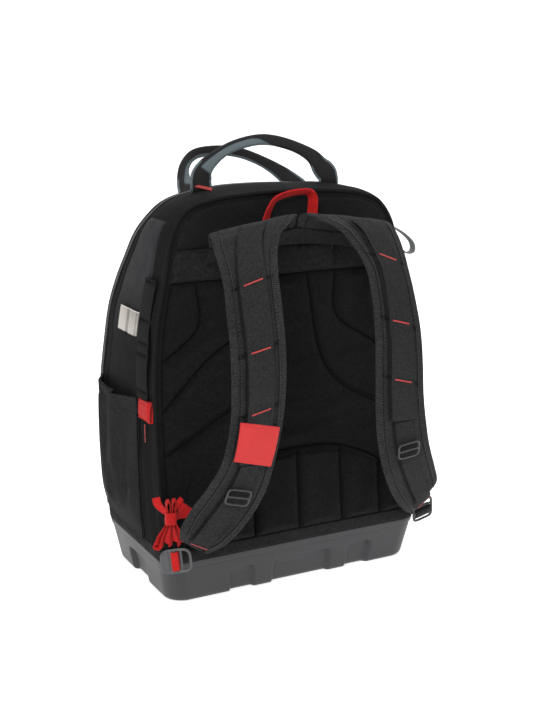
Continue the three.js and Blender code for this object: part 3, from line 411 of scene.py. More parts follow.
def sweep():
    """Floor and backdrop in one white sheet: a flat floor that bends up 3 m behind the
    bag, square to the view."""
    run = np.concatenate(
        [np.linspace(-3.5, 2.2, 24), 2.2 + np.sin(np.linspace(0, 1.5, 16)) * 1.6, [3.8, 3.8]]
    )
    rise = np.concatenate([np.zeros(24), (1 - np.cos(np.linspace(0, 1.5, 16))) * 1.6, [3.0, 6.0]])
    beside = np.linspace(-4.5, 4.5, 9)
    ahead, right = (
        np.array([-math.sin(view_turn), math.cos(view_turn), 0]),
        np.array([math.cos(view_turn), math.sin(view_turn), 0])
    )
    points = (
        ahead * run[:, None, None] + right * beside[None, :, None]
        + np.array([0, 0, 1.0]) * (rise - 0.0002)[:, None, None]
    )
    faces, _, _ = quads(len(run), 9, False, False)
    return mesh_piece("floor", points, faces[:, ::-1])


floor_finish = Finish(
    "floor_white", {"Roughness": 1.0, "Base Color": (0.85, 0.85, 0.85), "Specular IOR Level": 0.0}
)
floor_finish.wear("Emission Color", (1.0, 1.0, 1.0))
floor_finish.wear("Emission Strength", 0.62)
floor = sweep()
floor.data.materials.append(floor_finish.material)
floor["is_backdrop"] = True


# The tub
# A moulded box of matte grey plastic with rounded corners, a stepped lip under its rim and
# recesses with soft edges round its foot. The bag's cloth is riveted over it.
tub = {"width": 0.400, "depth": 0.225, "height": 0.062, "draft": 0.0115, "corner": 0.028}
recess = {"sunk": 0.006, "top": 0.0372, "edge": 0.0019, "round": 0.008}
recess_runs = {
    "back": [(-0.62, -0.40), (-0.22, 0.33), (0.51, 0.73)],
    "right": [(-0.32, 0.42)],
    "front": [(-0.73, -0.51), (-0.33, 0.22), (0.40, 0.62)],
    "left": [(-0.42, 0.32)],
}


def tub_outline(z, inset, sunk, straight_steps=190, corner_steps=18):
    """Rings of a rounded rectangle at heights z: each side is a straight run and then a
    quarter circle; draft narrows it towards the floor, and sunk scales the recesses, whose
    depth is a smooth step of the distance inside a rounded box."""
    draft = tub["draft"] * np.maximum(1 - z / tub["height"], 0)
    half_x = tub["width"] / 2 - draft - inset
    half_y = tub["depth"] / 2 - draft - inset
    radius = np.maximum(tub["corner"] - inset, 0.004)
    rings = []
    for side, out, run in [
        ("back", (0, -1), (1, 0)), ("right", (1, 0), (0, 1)), ("front", (0, 1), (-1, 0)),
        ("left", (-1, 0), (0, -1)),
    ]:
        reach = half_x if out[0] else half_y
        straight = (half_y if out[0] else half_x) - radius
        share = np.linspace(-1, 1, straight_steps)[None, :]
        along = share * straight[:, None]
        depth = 0 * along
        for low, high in recess_runs[side]:
            middle, half = (
                (low + high) / 2 * straight[:, None], (high - low) / 2 * straight[:, None]
            )
            across = np.abs(along - middle) - half + recess["round"]
            over = z[:, None] - recess["top"] + recess["round"]
            box = (
                np.hypot(np.maximum(across, 0), np.maximum(over, 0))
                + np.minimum(np.maximum(across, over), 0)
            )
            depth = np.maximum(depth, step(recess["round"] - box, -recess["edge"], recess["edge"]))
        place = reach[:, None] - depth * recess["sunk"] * sunk[:, None]
        rings.append(np.stack([
            out[0] * place + run[0] * along, out[1] * place + run[1] * along,
            z[:, None] + 0 * along,
        ], -1))
        turn = np.linspace(0, math.pi / 2, corner_steps + 2)[None, 1:-1]
        along = straight[:, None] + radius[:, None] * np.sin(turn)
        place = reach[:, None] - radius[:, None] * (1 - np.cos(turn))
        rings.append(np.stack([
            out[0] * place + run[0] * along, out[1] * place + run[1] * along,
            z[:, None] + 0 * along,
        ], -1))
    return np.concatenate(rings, 1)


def ring_map(points):
    """uv in metres for a stack of closed rings."""
    loop = np.concatenate([points, points[:, :1]], 1)
    return np.stack(np.meshgrid(lengths(loop, 1), lengths(points, 0)), -1)


tub_rows = np.array([
    (0.0000, 0.0060, 1), (0.0003, 0.0042, 1), (0.0010, 0.0026, 1), (0.0022, 0.0013, 1),
    (0.0040, 0.0004, 1),
    (0.0065, 0, 1), (0.0110, 0, 1), (0.0160, 0, 1), (0.0210, 0, 1), (0.0250, 0, 1), (0.0275, 0, 1),
    (0.0295, 0, 1),
    (0.0312, 0, 1), (0.0328, 0, 1), (0.0344, 0, 1), (0.0360, 0, 1), (0.0376, 0, 1), (0.0392, 0, 1),
    (0.0410, 0, 1),
    (0.0440, 0, 1), (0.0480, 0, 1), (0.0515, 0.0000, 0), (0.0526, 0.0004, 0), (0.0532, 0.0001, 0),
    (0.0538, -0.0008, 0), (0.0546, -0.0012, 0), (0.0560, -0.0012, 0), (0.0605, -0.0012, 0),
    (0.0616, -0.0008, 0),
    (0.0620, 0.0000, 0), (0.0620, 0.0030, 0), (0.0560, 0.0030, 0), (0.0100, 0.0080, 0),
    (0.0030, 0.0120, 0),
])
tub_points = tub_outline(tub_rows[:, 0], tub_rows[:, 1], tub_rows[:, 2])
tub_plastic = Finish("tub_plastic", {"Specular IOR Level": 0.42})
grain = tub_plastic.noise(900.0, 2.0)
scuff = tub_plastic.noise(14.0, 6.0, 0.65)
tub_plastic.wear("Base Color", tub_plastic.blend(
    (scuff - 0.35) * 1.2 + (grain - 0.5) * 0.35, (0.028, 0.028, 0.0305), (0.042, 0.042, 0.0455)))
tub_plastic.wear("Roughness", 0.46 + (scuff - 0.5) * 0.22 + (grain - 0.5) * 0.1)
tub_plastic.bump(grain * 0.7 + scuff * 0.3, 0.0006, 0.35)
dress(surface("tub_shell", tub_points, ring_map(tub_points), wrap_columns=True, caps=True),
      tub_plastic, "tub_plastic", "base_tub")


# The binding over the tub's rim
# A folded strip of coarse black tape that is riveted and sewn round the joint between the
# tub and the cloth. It puffs a little and wrinkles between its stitches.
binding = {"low": 0.0623, "high": 0.0793, "thick": 0.005, "proud": 0.002}


def squared_off(wave, power):
    """A sine or cosine pushed towards a square wave: sign(wave) |wave|^power."""
    return np.sign(wave) * np.abs(wave) ** power


def binding_band():
    """A flattened ring: a superellipse section, of the band's height and thickness, carried
    round the tub's outline, with ripples of 1 mm along it."""
    turn = np.linspace(0, math.tau, 28, endpoint=False)
    height = (binding["high"] - binding["low"]) / 2
    up = squared_off(np.sin(turn), 0.6)
    out = squared_off(np.cos(turn), 0.6)
    middle = binding["thick"] / 2 - binding["proud"]
    z = (binding["low"] + binding["high"]) / 2 + up * height
    rings = tub_outline(z, middle - out * (binding["thick"] / 2 + 0.0006), 0 * z)
    around = np.linspace(0, 1.2, rings.shape[1])[None, :]
    swell = (
        ripple(around, z[:, None] * 3, 0.07, 4) * 0.0006
        + ripple(around, z[:, None] * 2, 0.016, 5) * 0.0002
    )
    away = unit(rings * (1, 1, 0))
    return rings + away * (swell * (out[:, None] > 0))[..., None]


binding_points = binding_band()
loop = np.concatenate([binding_points, binding_points[:1]])
tape_black = woven(
    "tape_black", (0.006, 0.006, 0.00636), (0.026, 0.026, 0.02756), 0.0016, 0.0007, rough=0.92,
    sheen=0.03
)
dress(surface("rim_binding", binding_points, ring_map(loop), wrap_rows=True, wrap_columns=True),
      tape_black, "webbing", "base_binding", fill=0.4)


# The body's side wall
# One long strip of cloth runs up one side, over the top and down the other. Between its
# seams lies a panel of smooth coated grey cloth, with coarse black cloth by the piping.
shell = {
    "base": 0.0796, "height": 0.462, "lean": 0.045, "crown": 0.005, "edge": 0.005, "foot": 0.075,
    "wall": 0.0025
}
piping = {"radius": 0.003, "gap": 0.0033}
arch_rows = np.array([
    (0, 1, 0.82), (0.087, 1.01, 0.88), (0.253, 1.02, 0.89), (0.398, 1.018, 0.85),
    (0.532, 1.003, 0.74),
    (0.647, 0.968, 0.69), (0.73, 0.924, 0.61), (0.792, 0.89, 0.49), (0.875, 0.845, 0.29),
    (0.927, 0.79, 0.12),
    (0.963, 0.71, 0.04), (0.985, 0.55, 0.08), (0.998, 0.25, 0.17),
])
half_width = tub["width"] / 2
half_depth = tub["depth"] / 2


def up_to(rise):
    return shell["base"] + np.asarray(rise) * shell["height"]


def arch_points():
    left = np.stack([
        -arch_rows[:, 1] * half_width, arch_rows[:, 2] * half_depth, up_to(arch_rows[:, 0])], -1)
    top = np.array([[0, 0.2 * half_depth, up_to(1)]])
    return np.vstack([left, top, left[::-1] * (-1, 1, 1)])


arch_line = arch_points()
arch_times = np.linspace(0, 1, 801)
arch_run = np.concatenate(
    [[0], np.cumsum(np.linalg.norm(np.diff(curve_through(arch_line, arch_times), axis=0), axis=1))]
)


def back_at(z):
    """Depth of the leaning back at a height."""
    return -half_depth + shell["lean"] * (z - tub["height"]) / (up_to(1) - tub["height"])


def arch_at(share):
    """At a share of the arch's length: its point, its outward direction in the x-z plane,
    and the radius of its back edge."""
    time = np.interp(np.asarray(share) * arch_run[-1], arch_run, arch_times)
    point = curve_through(arch_line, time)
    ahead = (
        curve_through(arch_line, np.clip(time + 1e-4, 0, 1))
        - curve_through(arch_line, np.clip(time - 1e-4, 0, 1))
    )
    normal = unit(np.stack([-ahead[..., 2], 0 * ahead[..., 0], ahead[..., 0]], -1))
    return (
        point, normal,
        mix(tub["corner"], shell["edge"], step(point[..., 2] - shell["base"], 0, shell["foot"]))
    )


def edge_inset(distance, radius):
    """How far a rounded edge stands in, at a distance behind its start."""
    return np.where(
        distance >= radius, 0,
        radius - np.sqrt(np.maximum(radius ** 2 - (radius - distance) ** 2, 0))
    )


def side_wall(share, y, offset):
    """A point of the side wall at depth y: the arch, crowned by 4 c a (1 - a) and pulled in
    along its back edge, then moved outward by the offset."""
    point, normal, radius = arch_at(share)
    back = back_at(point[..., 2])
    across = (y - back) / (point[..., 1] - back)
    out = (
        shell["crown"] * 4 * across * (1 - across) - edge_inset(np.maximum(y - back, 0), radius)
        + offset
    )
    return (
        np.stack([point[..., 0], y + 0 * point[..., 0], point[..., 2]], -1)
        + normal * out[..., None]
    )


def groove(x, place, width):
    """A rounded dent of depth 1 at a place, exp(-((x - place) / width)^2)."""
    return np.exp(-((x - place) / width) ** 2)


wall_share, wall_across = np.meshgrid(np.linspace(0, 1, 420), np.linspace(0, 1, 56), indexing="ij")
wall_middle, _, _ = arch_at(wall_share)
wall_back = back_at(wall_middle[..., 2]) + piping["gap"]
wall_depth = mix(wall_back, wall_middle[..., 1], wall_across)
wall_run = wall_share * arch_run[-1]
over_top = step(wall_share, 0.353, 0.367) * step(wall_share, 0.647, 0.633)
strip_seam = 0.20 + 0.06 * step(wall_middle[..., 2], 0.30, 0.52)
wall_relief = (
    ripple(wall_run, wall_depth, 0.11, 11) * 0.0012
    + ripple(wall_run, wall_depth, 0.035, 12) * 0.00025
    - groove(wall_across, strip_seam, 0.016) * 0.0014 * (1 - over_top)
    - groove(wall_across, 0.86, 0.014) * 0.0011
    + (groove(wall_across, 0.15, 0.022) - groove(wall_across, 0.075, 0.02)) * 0.0022
    * step(wall_middle[..., 2], 0.27, 0.24)
    - (groove(wall_share, 0.36, 0.0018) + groove(wall_share, 0.64, 0.0018)) * 0.0012
    * step(wall_across, 0.1, 0.2)
) * step(wall_across, 0, 0.03) * step(wall_across, 1, 0.97)
wall_outer = side_wall(wall_share, wall_depth, wall_relief)
wall_inner = side_wall(wall_share, wall_depth, 0 * wall_relief - shell["wall"])
wall_cloth = Finish("wall_cloth", {"Specular IOR Level": 0.1})
along_wall, across_wall = wall_cloth.cloth_uv()
coated = (across_wall > 0.235) * (across_wall < 0.85) * (abs(along_wall - 0.5) > 0.14)
coat_grain = wall_cloth.noise(420.0, 3.0)
coat_patch = wall_cloth.noise(11.0, 3.0)
grey = wall_cloth.blend(
    (coat_grain - 0.5) * 0.5 + (coat_patch - 0.2) * 0.9, (0.014, 0.0143, 0.0155),
    (0.040, 0.0407, 0.0435)
)
threads = wall_cloth.noise(700.0, 2.0)
black = wall_cloth.blend(
    (threads - 0.5) * 1.4 + 0.45, (0.003, 0.003, 0.0032), (0.012, 0.012, 0.0126)
)
# Painted shade: lower down each side, where the wall lies in shadow, the grey panel fades to the black
# cloth's colour.
painted_low_shade = ((abs(along_wall - 0.5) - 0.222) * 13.0).maths("MAXIMUM", 0.0).maths("MINIMUM", 0.93)
coated = coated * (1 - painted_low_shade)
wall_cloth.wear("Base Color", wall_cloth.blend(coated, black, grey))
wall_cloth.wear("Roughness", 0.9 - coated * 0.3)
wall_cloth.bump(threads * 0.5 + coat_grain * 0.5, 0.0005, 0.7)
wall_uv = np.stack([wall_share, wall_across], -1)
wall_width = wall_middle[:, 0, 1] - wall_back[:, 0]
dress(walled("side_wall", wall_outer, wall_inner, wall_uv), wall_cloth, "cloth_grey", "gusset",
      held="stretched", on=("rim_binding", "back_piping"), cut=(wall_width.max(), arch_run[-1]),
      area=outline_area(wall_width, wall_run[:, 0]))


# The rear piping
# A cord in a sleeve of black cloth, sewn into the seam between the side wall and the back.
def back_edge(share, inset):
    """A point of the back panel's outline: the arch, moved inward by the piping's inset and
    a further inset, at the depth of the back."""
    point, normal, radius = arch_at(share)
    inward = edge_inset(np.full(radius.shape, piping["gap"]), radius) + shell["wall"] / 2 + inset
    edge = point - normal * inward[..., None]
    return np.stack([edge[..., 0], back_at(edge[..., 2]), edge[..., 2]], -1), normal


def tube(middle, first, second, radius, sides=14):
    """Circles of the given radius in the plane of two directions, along a line of points."""
    turn = np.linspace(0, math.tau, sides, endpoint=False)
    radius = np.broadcast_to(np.asarray(radius, float), middle.shape[:1])
    ring = (
        np.cos(turn)[None, :, None] * first[:, None] + np.sin(turn)[None, :, None] * second[:, None]
    )
    return middle[:, None] + ring * radius[:, None, None]


piping_share = np.linspace(0, 1, 360)
piping_middle, piping_out = back_edge(piping_share, 0)
piping_wave = 1 + 0.06 * ripple(piping_share * 1.2, 0, 0.02, 21)
piping_points = tube(
    piping_middle, piping_out, np.tile([0.0, 1.0, 0.0], (360, 1)), piping["radius"] * piping_wave
)
piping_cloth = woven(
    "piping_cloth", (0.003, 0.003, 0.00318), (0.014, 0.014, 0.01484), 0.0012, 0.0004, rough=0.8,
    sheen=0.0
)
dress(surface("back_piping", piping_points, ring_map(piping_points), wrap_columns=True, caps=True),
      piping_cloth, "cloth", "rear_piping", fill=1.0)


# The zipper
# Two flat tapes and a coil of plastic teeth between them, along the front edge of the side
# wall. The teeth are small hooked blocks, set alternately from both tapes.
zipper = {"width": 0.009, "cut": 0.013, "pitch": 0.0026, "teeth": 0.0042}
zip_share = np.linspace(0, 1, 620)
zip_middle, zip_out, _ = arch_at(zip_share)
zip_profile = np.array([
    (-0.0022, 0.0003), (-0.0003, 0.0003), (0.0002, 0.0010), (0.0004, 0.0022), (0.0000, 0.0030),
    (0.0000, 0.0060),
    (0.0004, 0.0068), (0.0002, 0.0080), (-0.0003, 0.0090), (-0.0022, 0.0090),
])
zip_points = (
    zip_middle[:, None] + zip_out[:, None] * zip_profile[None, :, :1]
    + np.array([0, 1.0, 0]) * zip_profile[None, :, 1:]
)
zip_tape = woven(
    "zip_tape", (0.003, 0.003, 0.00318), (0.014, 0.014, 0.01484), 0.0012, 0.0004, rough=0.75,
    sheen=0.0
)
dress(surface("zip_tapes", zip_points, ring_map(zip_points), wrap_columns=True, caps=True),
      zip_tape, "webbing", "zipper_track", held="laid", on=("side_wall",),
      cut=(zipper["cut"], 1.246))


def repeated(name, shape, faces, middle, along, across, out):
    """Copies of one small closed shape: each of its points a, b, c stands at
    middle + a along + b across + c out."""
    points = (
        middle[:, None] + shape[None, :, :1] * along[:, None]
        + shape[None, :, 1:2] * across[:, None] + shape[None, :, 2:] * out[:, None]
    )
    every = faces + (np.arange(len(middle)) * len(shape))[:, None, None]
    return mesh_piece(name, points, every.reshape(-1, 3))


def pellet(length, width, height, sides=8):
    """A small rounded bar: four rings, the end ones shrunk, closed by flat ends."""
    turn = np.linspace(0, math.tau, sides, endpoint=False)
    rows = [(-0.5, 0.45), (-0.36, 1), (0.36, 1), (0.5, 0.45)]
    shape = np.array([
        (at * length, size * width / 2 * math.cos(t), size * height / 2 * math.sin(t))
        for at, size in rows for t in turn
    ])
    faces, _, _ = quads(4, sides, False, True)
    split = [(a, b, c) for a, b, c, d in faces] + [(a, c, d) for a, b, c, d in faces]
    split += [(0, j + 1, j) for j in range(1, sides - 1)]
    last = 3 * sides
    split += [(last, last + j, last + j + 1) for j in range(1, sides - 1)]
    return shape, np.array(split)[:, ::-1]


teeth_run = np.arange(0.004, arch_run[-1] - 0.004, zipper["pitch"])
teeth_share = teeth_run / arch_run[-1]
teeth_middle, teeth_out, _ = arch_at(teeth_share)
teeth_side = np.where(np.arange(len(teeth_run)) % 2, 1.0, -1.0)[:, None]
teeth_along = unit(np.gradient(teeth_middle, axis=0))
teeth_shape, teeth_faces = pellet(zipper["teeth"], 0.0019, 0.0018)
teeth_at = (
    teeth_middle + teeth_out * 0.0006 + np.array([0, 0.0045, 0])
    + teeth_side * np.array([0, 0.0006, 0])
)
zip_plastic = Finish("zip_plastic", {"Roughness": 0.38, "Specular IOR Level": 0.5})
zip_plastic.wear(
    "Base Color",
    zip_plastic.blend(zip_plastic.noise(60.0), (0.05, 0.05, 0.053), (0.16, 0.16, 0.168))
)
dress(outward(repeated(
    "zip_teeth", teeth_shape, teeth_faces, teeth_at,
    np.tile([0.0, 1.0, 0.0], (len(teeth_run), 1)), unit(np.cross(teeth_out, [0, 1.0, 0])),
    teeth_out,
)), zip_plastic, "webbing")

# The zipper's slider is a small cast body on the teeth, with a loop of red cord through it.
slider_share = 0.72
slider_middle, slider_out, _ = (a[0] for a in arch_at(np.array([slider_share])))
slider_ahead = arch_at(np.array([slider_share + 0.002]))[0][0] - slider_middle
slider_down = unit(np.array([slider_ahead[0], 0, slider_ahead[2]]))
slider_top = slider_middle + np.array([0, 0.0045, 0]) + slider_out * 0.0028
slider_line = np.linspace(0, 1, 20)
slider_half = np.interp(
    slider_line, [0, 0.12, 0.5, 0.88, 1], [0.003, 0.0048, 0.0040, 0.0050, 0.0034]
)
turn = np.linspace(0, math.tau, 20, endpoint=False)
slider_points = (
    slider_top + slider_down * (slider_line[:, None, None] * 0.013)
    + np.array([0, 1.0, 0]) * squared_off(np.cos(turn), 0.6)[None, :, None]
    * slider_half[:, None, None]
    + slider_out * (squared_off(np.sin(turn), 0.6) * 0.0016)[None, :, None]
)
slider_metal = Finish("slider_metal", {"Metallic": 0.9, "Specular IOR Level": 0.5})
slider_metal.wear("Roughness", 0.3 + slider_metal.noise(200.0) * 0.2)
slider_metal.wear(
    "Base Color",
    slider_metal.blend(slider_metal.noise(90.0), (0.10, 0.10, 0.11), (0.22, 0.22, 0.23))
)
dress(surface("zip_slider_body", slider_points, ring_map(slider_points), wrap_columns=True,
              caps=True),
      slider_metal, "buckle_plastic")
cord_line = np.linspace(0, 1, 90)
cord_swing = np.sin(math.pi * cord_line)
cord_middle = (
    slider_top
    + slider_down * (0.006 + 0.042 * np.sin(math.pi / 2 * (1 - np.abs(2 * cord_line - 1)))[:, None])
    + slider_out * (0.0008 + 0.001 * cord_swing)[:, None]
    + np.array([0, 1.0, 0]) * (0.0026 * np.cos(math.pi * cord_line))[:, None]
)
cord_along = unit(np.gradient(cord_middle, axis=0))
cord_side = unit(np.cross(cord_along, slider_out))
cord_points = tube(cord_middle, cord_side, np.cross(cord_along, cord_side), 0.0011, 10)
red_tape = woven(
    "red_tape", (0.34, 0.007, 0.008), (0.62, 0.022, 0.019), 0.0012, 0.0005, rough=0.72, sheen=0.05,
    mottling=0.2
)
pull_cord = dress(surface("zip_cord", cord_points, ring_map(cord_points), wrap_columns=True,
                          caps=True),
                  red_tape, "red_webbing", "zip_slider")


# The front
# A crowned panel of black cloth inside the zipper line, with one flat pocket sewn over its
# foot. The pocket's face stands out like a shallow box.
front = {"crown": 0.026, "gap": zipper["width"] + 0.00135, "ease": 0.003, "step": 0.488}


def front_surface(u, v, forward):
    """A row joins the two sides of the arch at equal height; across it, the depth rises by
    crown (1 - s^4), where s is the share of the half width to the power 0.8."""
    left, _, _ = arch_at(v * front["step"])
    right, _, _ = arch_at(1 - v * front["step"])
    across = 2 * u - 1
    squared = squared_off(across, 0.8)
    edge = mix(left[..., 0], right[..., 0], 0.5 + squared / 2)
    height = mix(left[..., 2], right[..., 2], 0.5 + squared / 2)
    rise = (height - shell["base"]) / shell["height"]
    narrow = np.minimum(right[..., 0] / (half_width * 0.5), 1)
    crown = mix(0.45, 1, step(rise, 0.4, 0.8)) * front["crown"] * narrow
    ease = front["ease"] * step(v, 0.55, 0.85)
    depth = left[..., 1] + front["gap"] + ease + crown * (1 - np.abs(squared) ** 4) + forward
    return np.stack([edge, depth, height], -1)


front_u, front_v = np.meshgrid(np.linspace(0, 1, 120), np.linspace(0, 1, 150))
front_relief = (
    ripple(front_u * 0.4, front_v * 0.46, 0.12, 31) * 0.0016
    + ripple(front_u * 0.4, front_v * 0.46, 0.03, 32) * 0.0003
) * step(front_u, 0, 0.06) * step(front_u, 1, 0.94) * step(front_v, 1, 0.93)
front_outer = front_surface(front_u, front_v, shell["wall"] + front_relief)
front_inner = front_surface(front_u, front_v, 0 * front_relief)
black_cloth = woven(
    "black_cloth", (0.0035, 0.0035, 0.00371), (0.016, 0.016, 0.01696), 0.0014, 0.0005, rough=0.78,
    sheen=0.02
)
front_width = np.ptp(front_inner[..., 0], axis=1)
dress(walled("front_face", front_outer, front_inner, cloth_map(front_outer)), black_cloth, "cloth",
      "front_panel",
      held="stretched", on=("zip_tapes",), cut=(front_width.max(), np.ptp(front_inner[:, 0, 2])),
      area=outline_area(front_width, front_inner[:, 0, 2]))

pocket = {"height": 0.205, "bulge": 0.031, "inset": 0.003, "seat": 0.0006}
pocket_rows = np.array([
    (0, 0), (0.03, 0.62), (0.09, 0.92), (0.18, 1), (0.42, 0.92), (0.66, 0.72), (0.88, 0.45),
    (0.97, 0.2), (1, 0),
])


def pocket_surface(u, v, forward, tuck):
    """Rows of the front pocket lie on the panel, at its own heights, and stand out by
    bulge b(v) |sin(pi u)|^0.36."""
    angle = math.pi * (1 - u)
    across = squared_off(np.cos(angle), 0.4)
    swell = np.abs(np.sin(angle)) ** 0.36
    shares = np.linspace(0, 0.5, 500)
    heights = arch_at(shares * front["step"])[0][:, 2]
    panel_v = np.interp(shell["base"] + v * pocket["height"], heights, shares)
    bulge = np.interp(v, pocket_rows[:, 0], pocket_rows[:, 1]) * pocket["bulge"]
    narrow = 1 - (pocket["inset"] + tuck * swell) / half_width
    panel_u = 0.5 + np.sign(across) * (np.abs(across) * narrow) ** 1.25 / 2
    return front_surface(panel_u, panel_v, shell["wall"] + pocket["seat"] + bulge * swell + forward)


pocket_u, pocket_v = np.meshgrid(np.linspace(0, 1, 140), np.linspace(0, 1, 90))
pocket_relief = (
    ripple(pocket_u * 0.4, pocket_v * 0.2, 0.09, 33) * 0.0016
    + ripple(pocket_u * 0.4, pocket_v * 0.2, 0.03, 34) * 0.0003
    - groove(pocket_v, 0.93, 0.012) * 0.0012
) * step(pocket_u, 0, 0.08) * step(pocket_u, 1, 0.92) * step(pocket_v, 0, 0.06) * step(pocket_v, 1, 0.96)
pocket_outer = pocket_surface(pocket_u, pocket_v, shell["wall"] + pocket_relief, 0)
pocket_inner = pocket_surface(pocket_u, pocket_v, 0 * pocket_relief, shell["wall"])
dress(walled("front_pocket_face", pocket_outer, pocket_inner, cloth_map(pocket_outer)),
      black_cloth, "cloth", "front_pocket", held="stretched", on=("front_face",),
      cut=(2 * half_width + pocket["bulge"], pocket["height"] + pocket["bulge"]))


# The side pockets
# A loose sheet of cloth on each side wall, sewn down along three edges and open at the
# top, with a taped mouth. It falls in soft upright folds.
side_pocket = {"rear": -0.45, "front": 0.80, "height": 0.199, "bulge": 0.015, "seat": 0.0006}
side_heights = arch_at(np.linspace(0, 0.5, 900))[0][:, 2]


def side_share(height):
    """The share of the arch's length at which the left side reaches a height."""
    return np.interp(height, side_heights[:860], np.linspace(0, 0.5, 900)[:860])


def side_pocket_sheet(u, v, layer):
    """On the wall, out = bulge sin(pi u)^0.6 fall(v) + folds, where the folds lean with v."""
    fall = step(v, 0, 0.25) * mix(1, 0.75, v)
    swell = np.sin(math.pi * u) ** 0.6
    folds = (
        0.0062 * np.sin(math.tau * 2.2 * u + 2.4 * v + 0.4)
        + 0.0024 * np.sin(math.tau * 4.3 * u - 3 * v)
        + 0.0010 * ripple(u * 0.14, v * 0.2, 0.05, 41)
    ) * swell * fall * step(v, 0, 0.4)
    mouth = 0.0012 * groove(v, 1.0, 0.035) - 0.0010 * groove(v, 0.91, 0.012)
    out = (
        side_pocket["seat"] + layer * shell["wall"] + side_pocket["bulge"] * swell * fall + folds
        + mouth * layer
    )
    sag = 0.006 * np.sin(math.pi * u) * v ** 3
    share = side_share(shell["base"] + v * side_pocket["height"] + 0.001 * (1 - v) - sag)
    depth = mix(side_pocket["rear"], side_pocket["front"], u) * half_depth
    return side_wall(share, depth, np.maximum(out, side_pocket["seat"] * layer + 0.0004))


sheet_u, sheet_v = np.meshgrid(np.linspace(0, 1, 110), np.linspace(0, 1, 130))
sheet_outer = side_pocket_sheet(sheet_u, sheet_v, 1)
sheet_inner = side_pocket_sheet(sheet_u, sheet_v, 0)
pocket_cloth = woven(
    "pocket_cloth", (0.0085, 0.0086, 0.0088), (0.031, 0.0315, 0.0322), 0.0014, 0.0005, rough=0.9,
    sheen=0.0
)
for side, mirror in (("left", (1, 1, 1)), ("right", (-1, 1, 1))):
    sheet_piece = walled(
        f"pocket_sheet_{side}", sheet_outer * mirror, sheet_inner * mirror, cloth_map(sheet_outer)
    )
    dress(sheet_piece, pocket_cloth, "cloth", f"side_pocket_{side}", held="hung", on=("side_wall",),
          cut=((side_pocket["front"] - side_pocket["rear"]) * half_depth + 0.011,
               side_pocket["height"] + 0.005))


# The quilted back
# A hidden carrier cloth closes the back. On it lie an upper panel, a band of coarse webbing,
# and two puffed pads of spacer mesh, sewn down along their seams. The pads are blown up by
# a cloth simulation with every seam held fast.
back = {"pad_gap": 0.0033 + 0.005, "seat": 0.0006, "band_low": 0.762, "band_high": 0.852}
edge_share = np.linspace(0, 0.5, 700)


def across(half):
    return np.asarray(half) * half_width


def half_width_at(z, inset):
    """Half the width of the back's outline at a height."""
    line, _ = back_edge(edge_share, inset)
    rising = np.maximum.accumulate(line[:, 2])
    return np.interp(z, rising, -line[:, 0])


def on_back(x, z, off):
    """A point off the leaning back by a distance, measured along the depth."""
    return np.stack([x, back_at(z) - off, z], -1)


def to_lines(x, z, lines):
    """Distance from each point to the nearest of some lines of straight pieces."""
    nearest = np.full(x.shape, 1.0)
    for line in lines:
        line = np.asarray(line, float)
        for a, b in zip(line[:-1], line[1:]):
            span = b - a
            t = np.clip(((x - a[0]) * span[0] + (z - a[1]) * span[1]) / (span @ span), 0, 1)
            nearest = np.minimum(nearest, np.hypot(x - a[0] - t * span[0], z - a[1] - t * span[1]))
    return nearest


def bend(points, count=40):
    """A smooth line through a few points in the plane of the back."""
    flat = np.array([[across(half), 0, up_to(rise)] for half, rise in points])
    return curve_through(flat, np.linspace(0, 1, count))[:, [0, 2]]


carrier_z = np.linspace(shell["base"] + 0.0012, up_to(0.9935), 60)
carrier_half = half_width_at(carrier_z, 0.0)
carrier_x = np.linspace(-1, 1, 40)[None, :] * carrier_half[:, None]
carrier_front = on_back(carrier_x, carrier_z[:, None] + 0 * carrier_x, 0.0)
carrier_back = on_back(carrier_x, carrier_z[:, None] + 0 * carrier_x, -0.0025)
dress(walled("back_carrier", carrier_front, carrier_back, cloth_map(carrier_front)),
      black_cloth, "cloth", "back_panel", held="stretched", on=("side_wall", "back_piping"),
      cut=(2 * carrier_half.max(), np.ptp(carrier_z)),
      area=outline_area(2 * carrier_half, carrier_z))

upper_low, upper_high = up_to(back["band_high"]), up_to(0.979)
upper_v, upper_u = np.meshgrid(np.linspace(0, 1, 60), np.linspace(-1, 1, 150), indexing="ij")
upper_z = mix(upper_low, upper_high, upper_v)
upper_x = upper_u * half_width_at(upper_z, back["pad_gap"])
upper_rim = np.minimum((1 - np.abs(upper_u)) * 0.12, np.minimum(upper_v, 1 - upper_v) * 0.05)
upper_off = (
    back["seat"] + 0.0036 * (1 - np.exp(-upper_rim / 0.003))
    + ripple(upper_x, upper_z, 0.05, 51) * 0.0006
)
upper_face = on_back(upper_x, upper_z, upper_off)
upper_under = on_back(upper_x, upper_z, 0 * upper_x + back["seat"] * 0.5)
dress(
    walled("upper_face", upper_face, upper_under, cloth_map(upper_face)), black_cloth, "cloth",
    "upper_panel", fill=0.3
)

band_v, band_u = np.meshgrid(np.linspace(0, 1, 60), np.linspace(-1, 1, 260), indexing="ij")
band_z = mix(up_to(back["band_low"]), up_to(back["band_high"]) - 0.0006, band_v)
band_x = band_u * half_width_at(band_z, back["pad_gap"])
band_tacks = [
    [(across(s * 0.355), up_to(0.76)), (across(s * 0.355), up_to(0.853))] for s in (-1, 1)
]
band_down = to_lines(band_x, band_z, band_tacks)
band_rim = np.minimum(
    np.minimum((1 - np.abs(band_u)) * 0.16, np.minimum(band_v, 1 - band_v) * 0.0415), band_down
)
band_off = (
    back["seat"] + 0.0058 * (1 - np.exp(-band_rim / 0.0035))
    + ripple(band_x, band_z, 0.045, 52) * 0.0006
    - groove(np.minimum(band_v, 1 - band_v) * 0.0415, 0.0035, 0.0010) * 0.0005
)
band_face = on_back(band_x, band_z, band_off)
band_under = on_back(band_x, band_z, 0 * band_x + back["seat"] * 0.5)
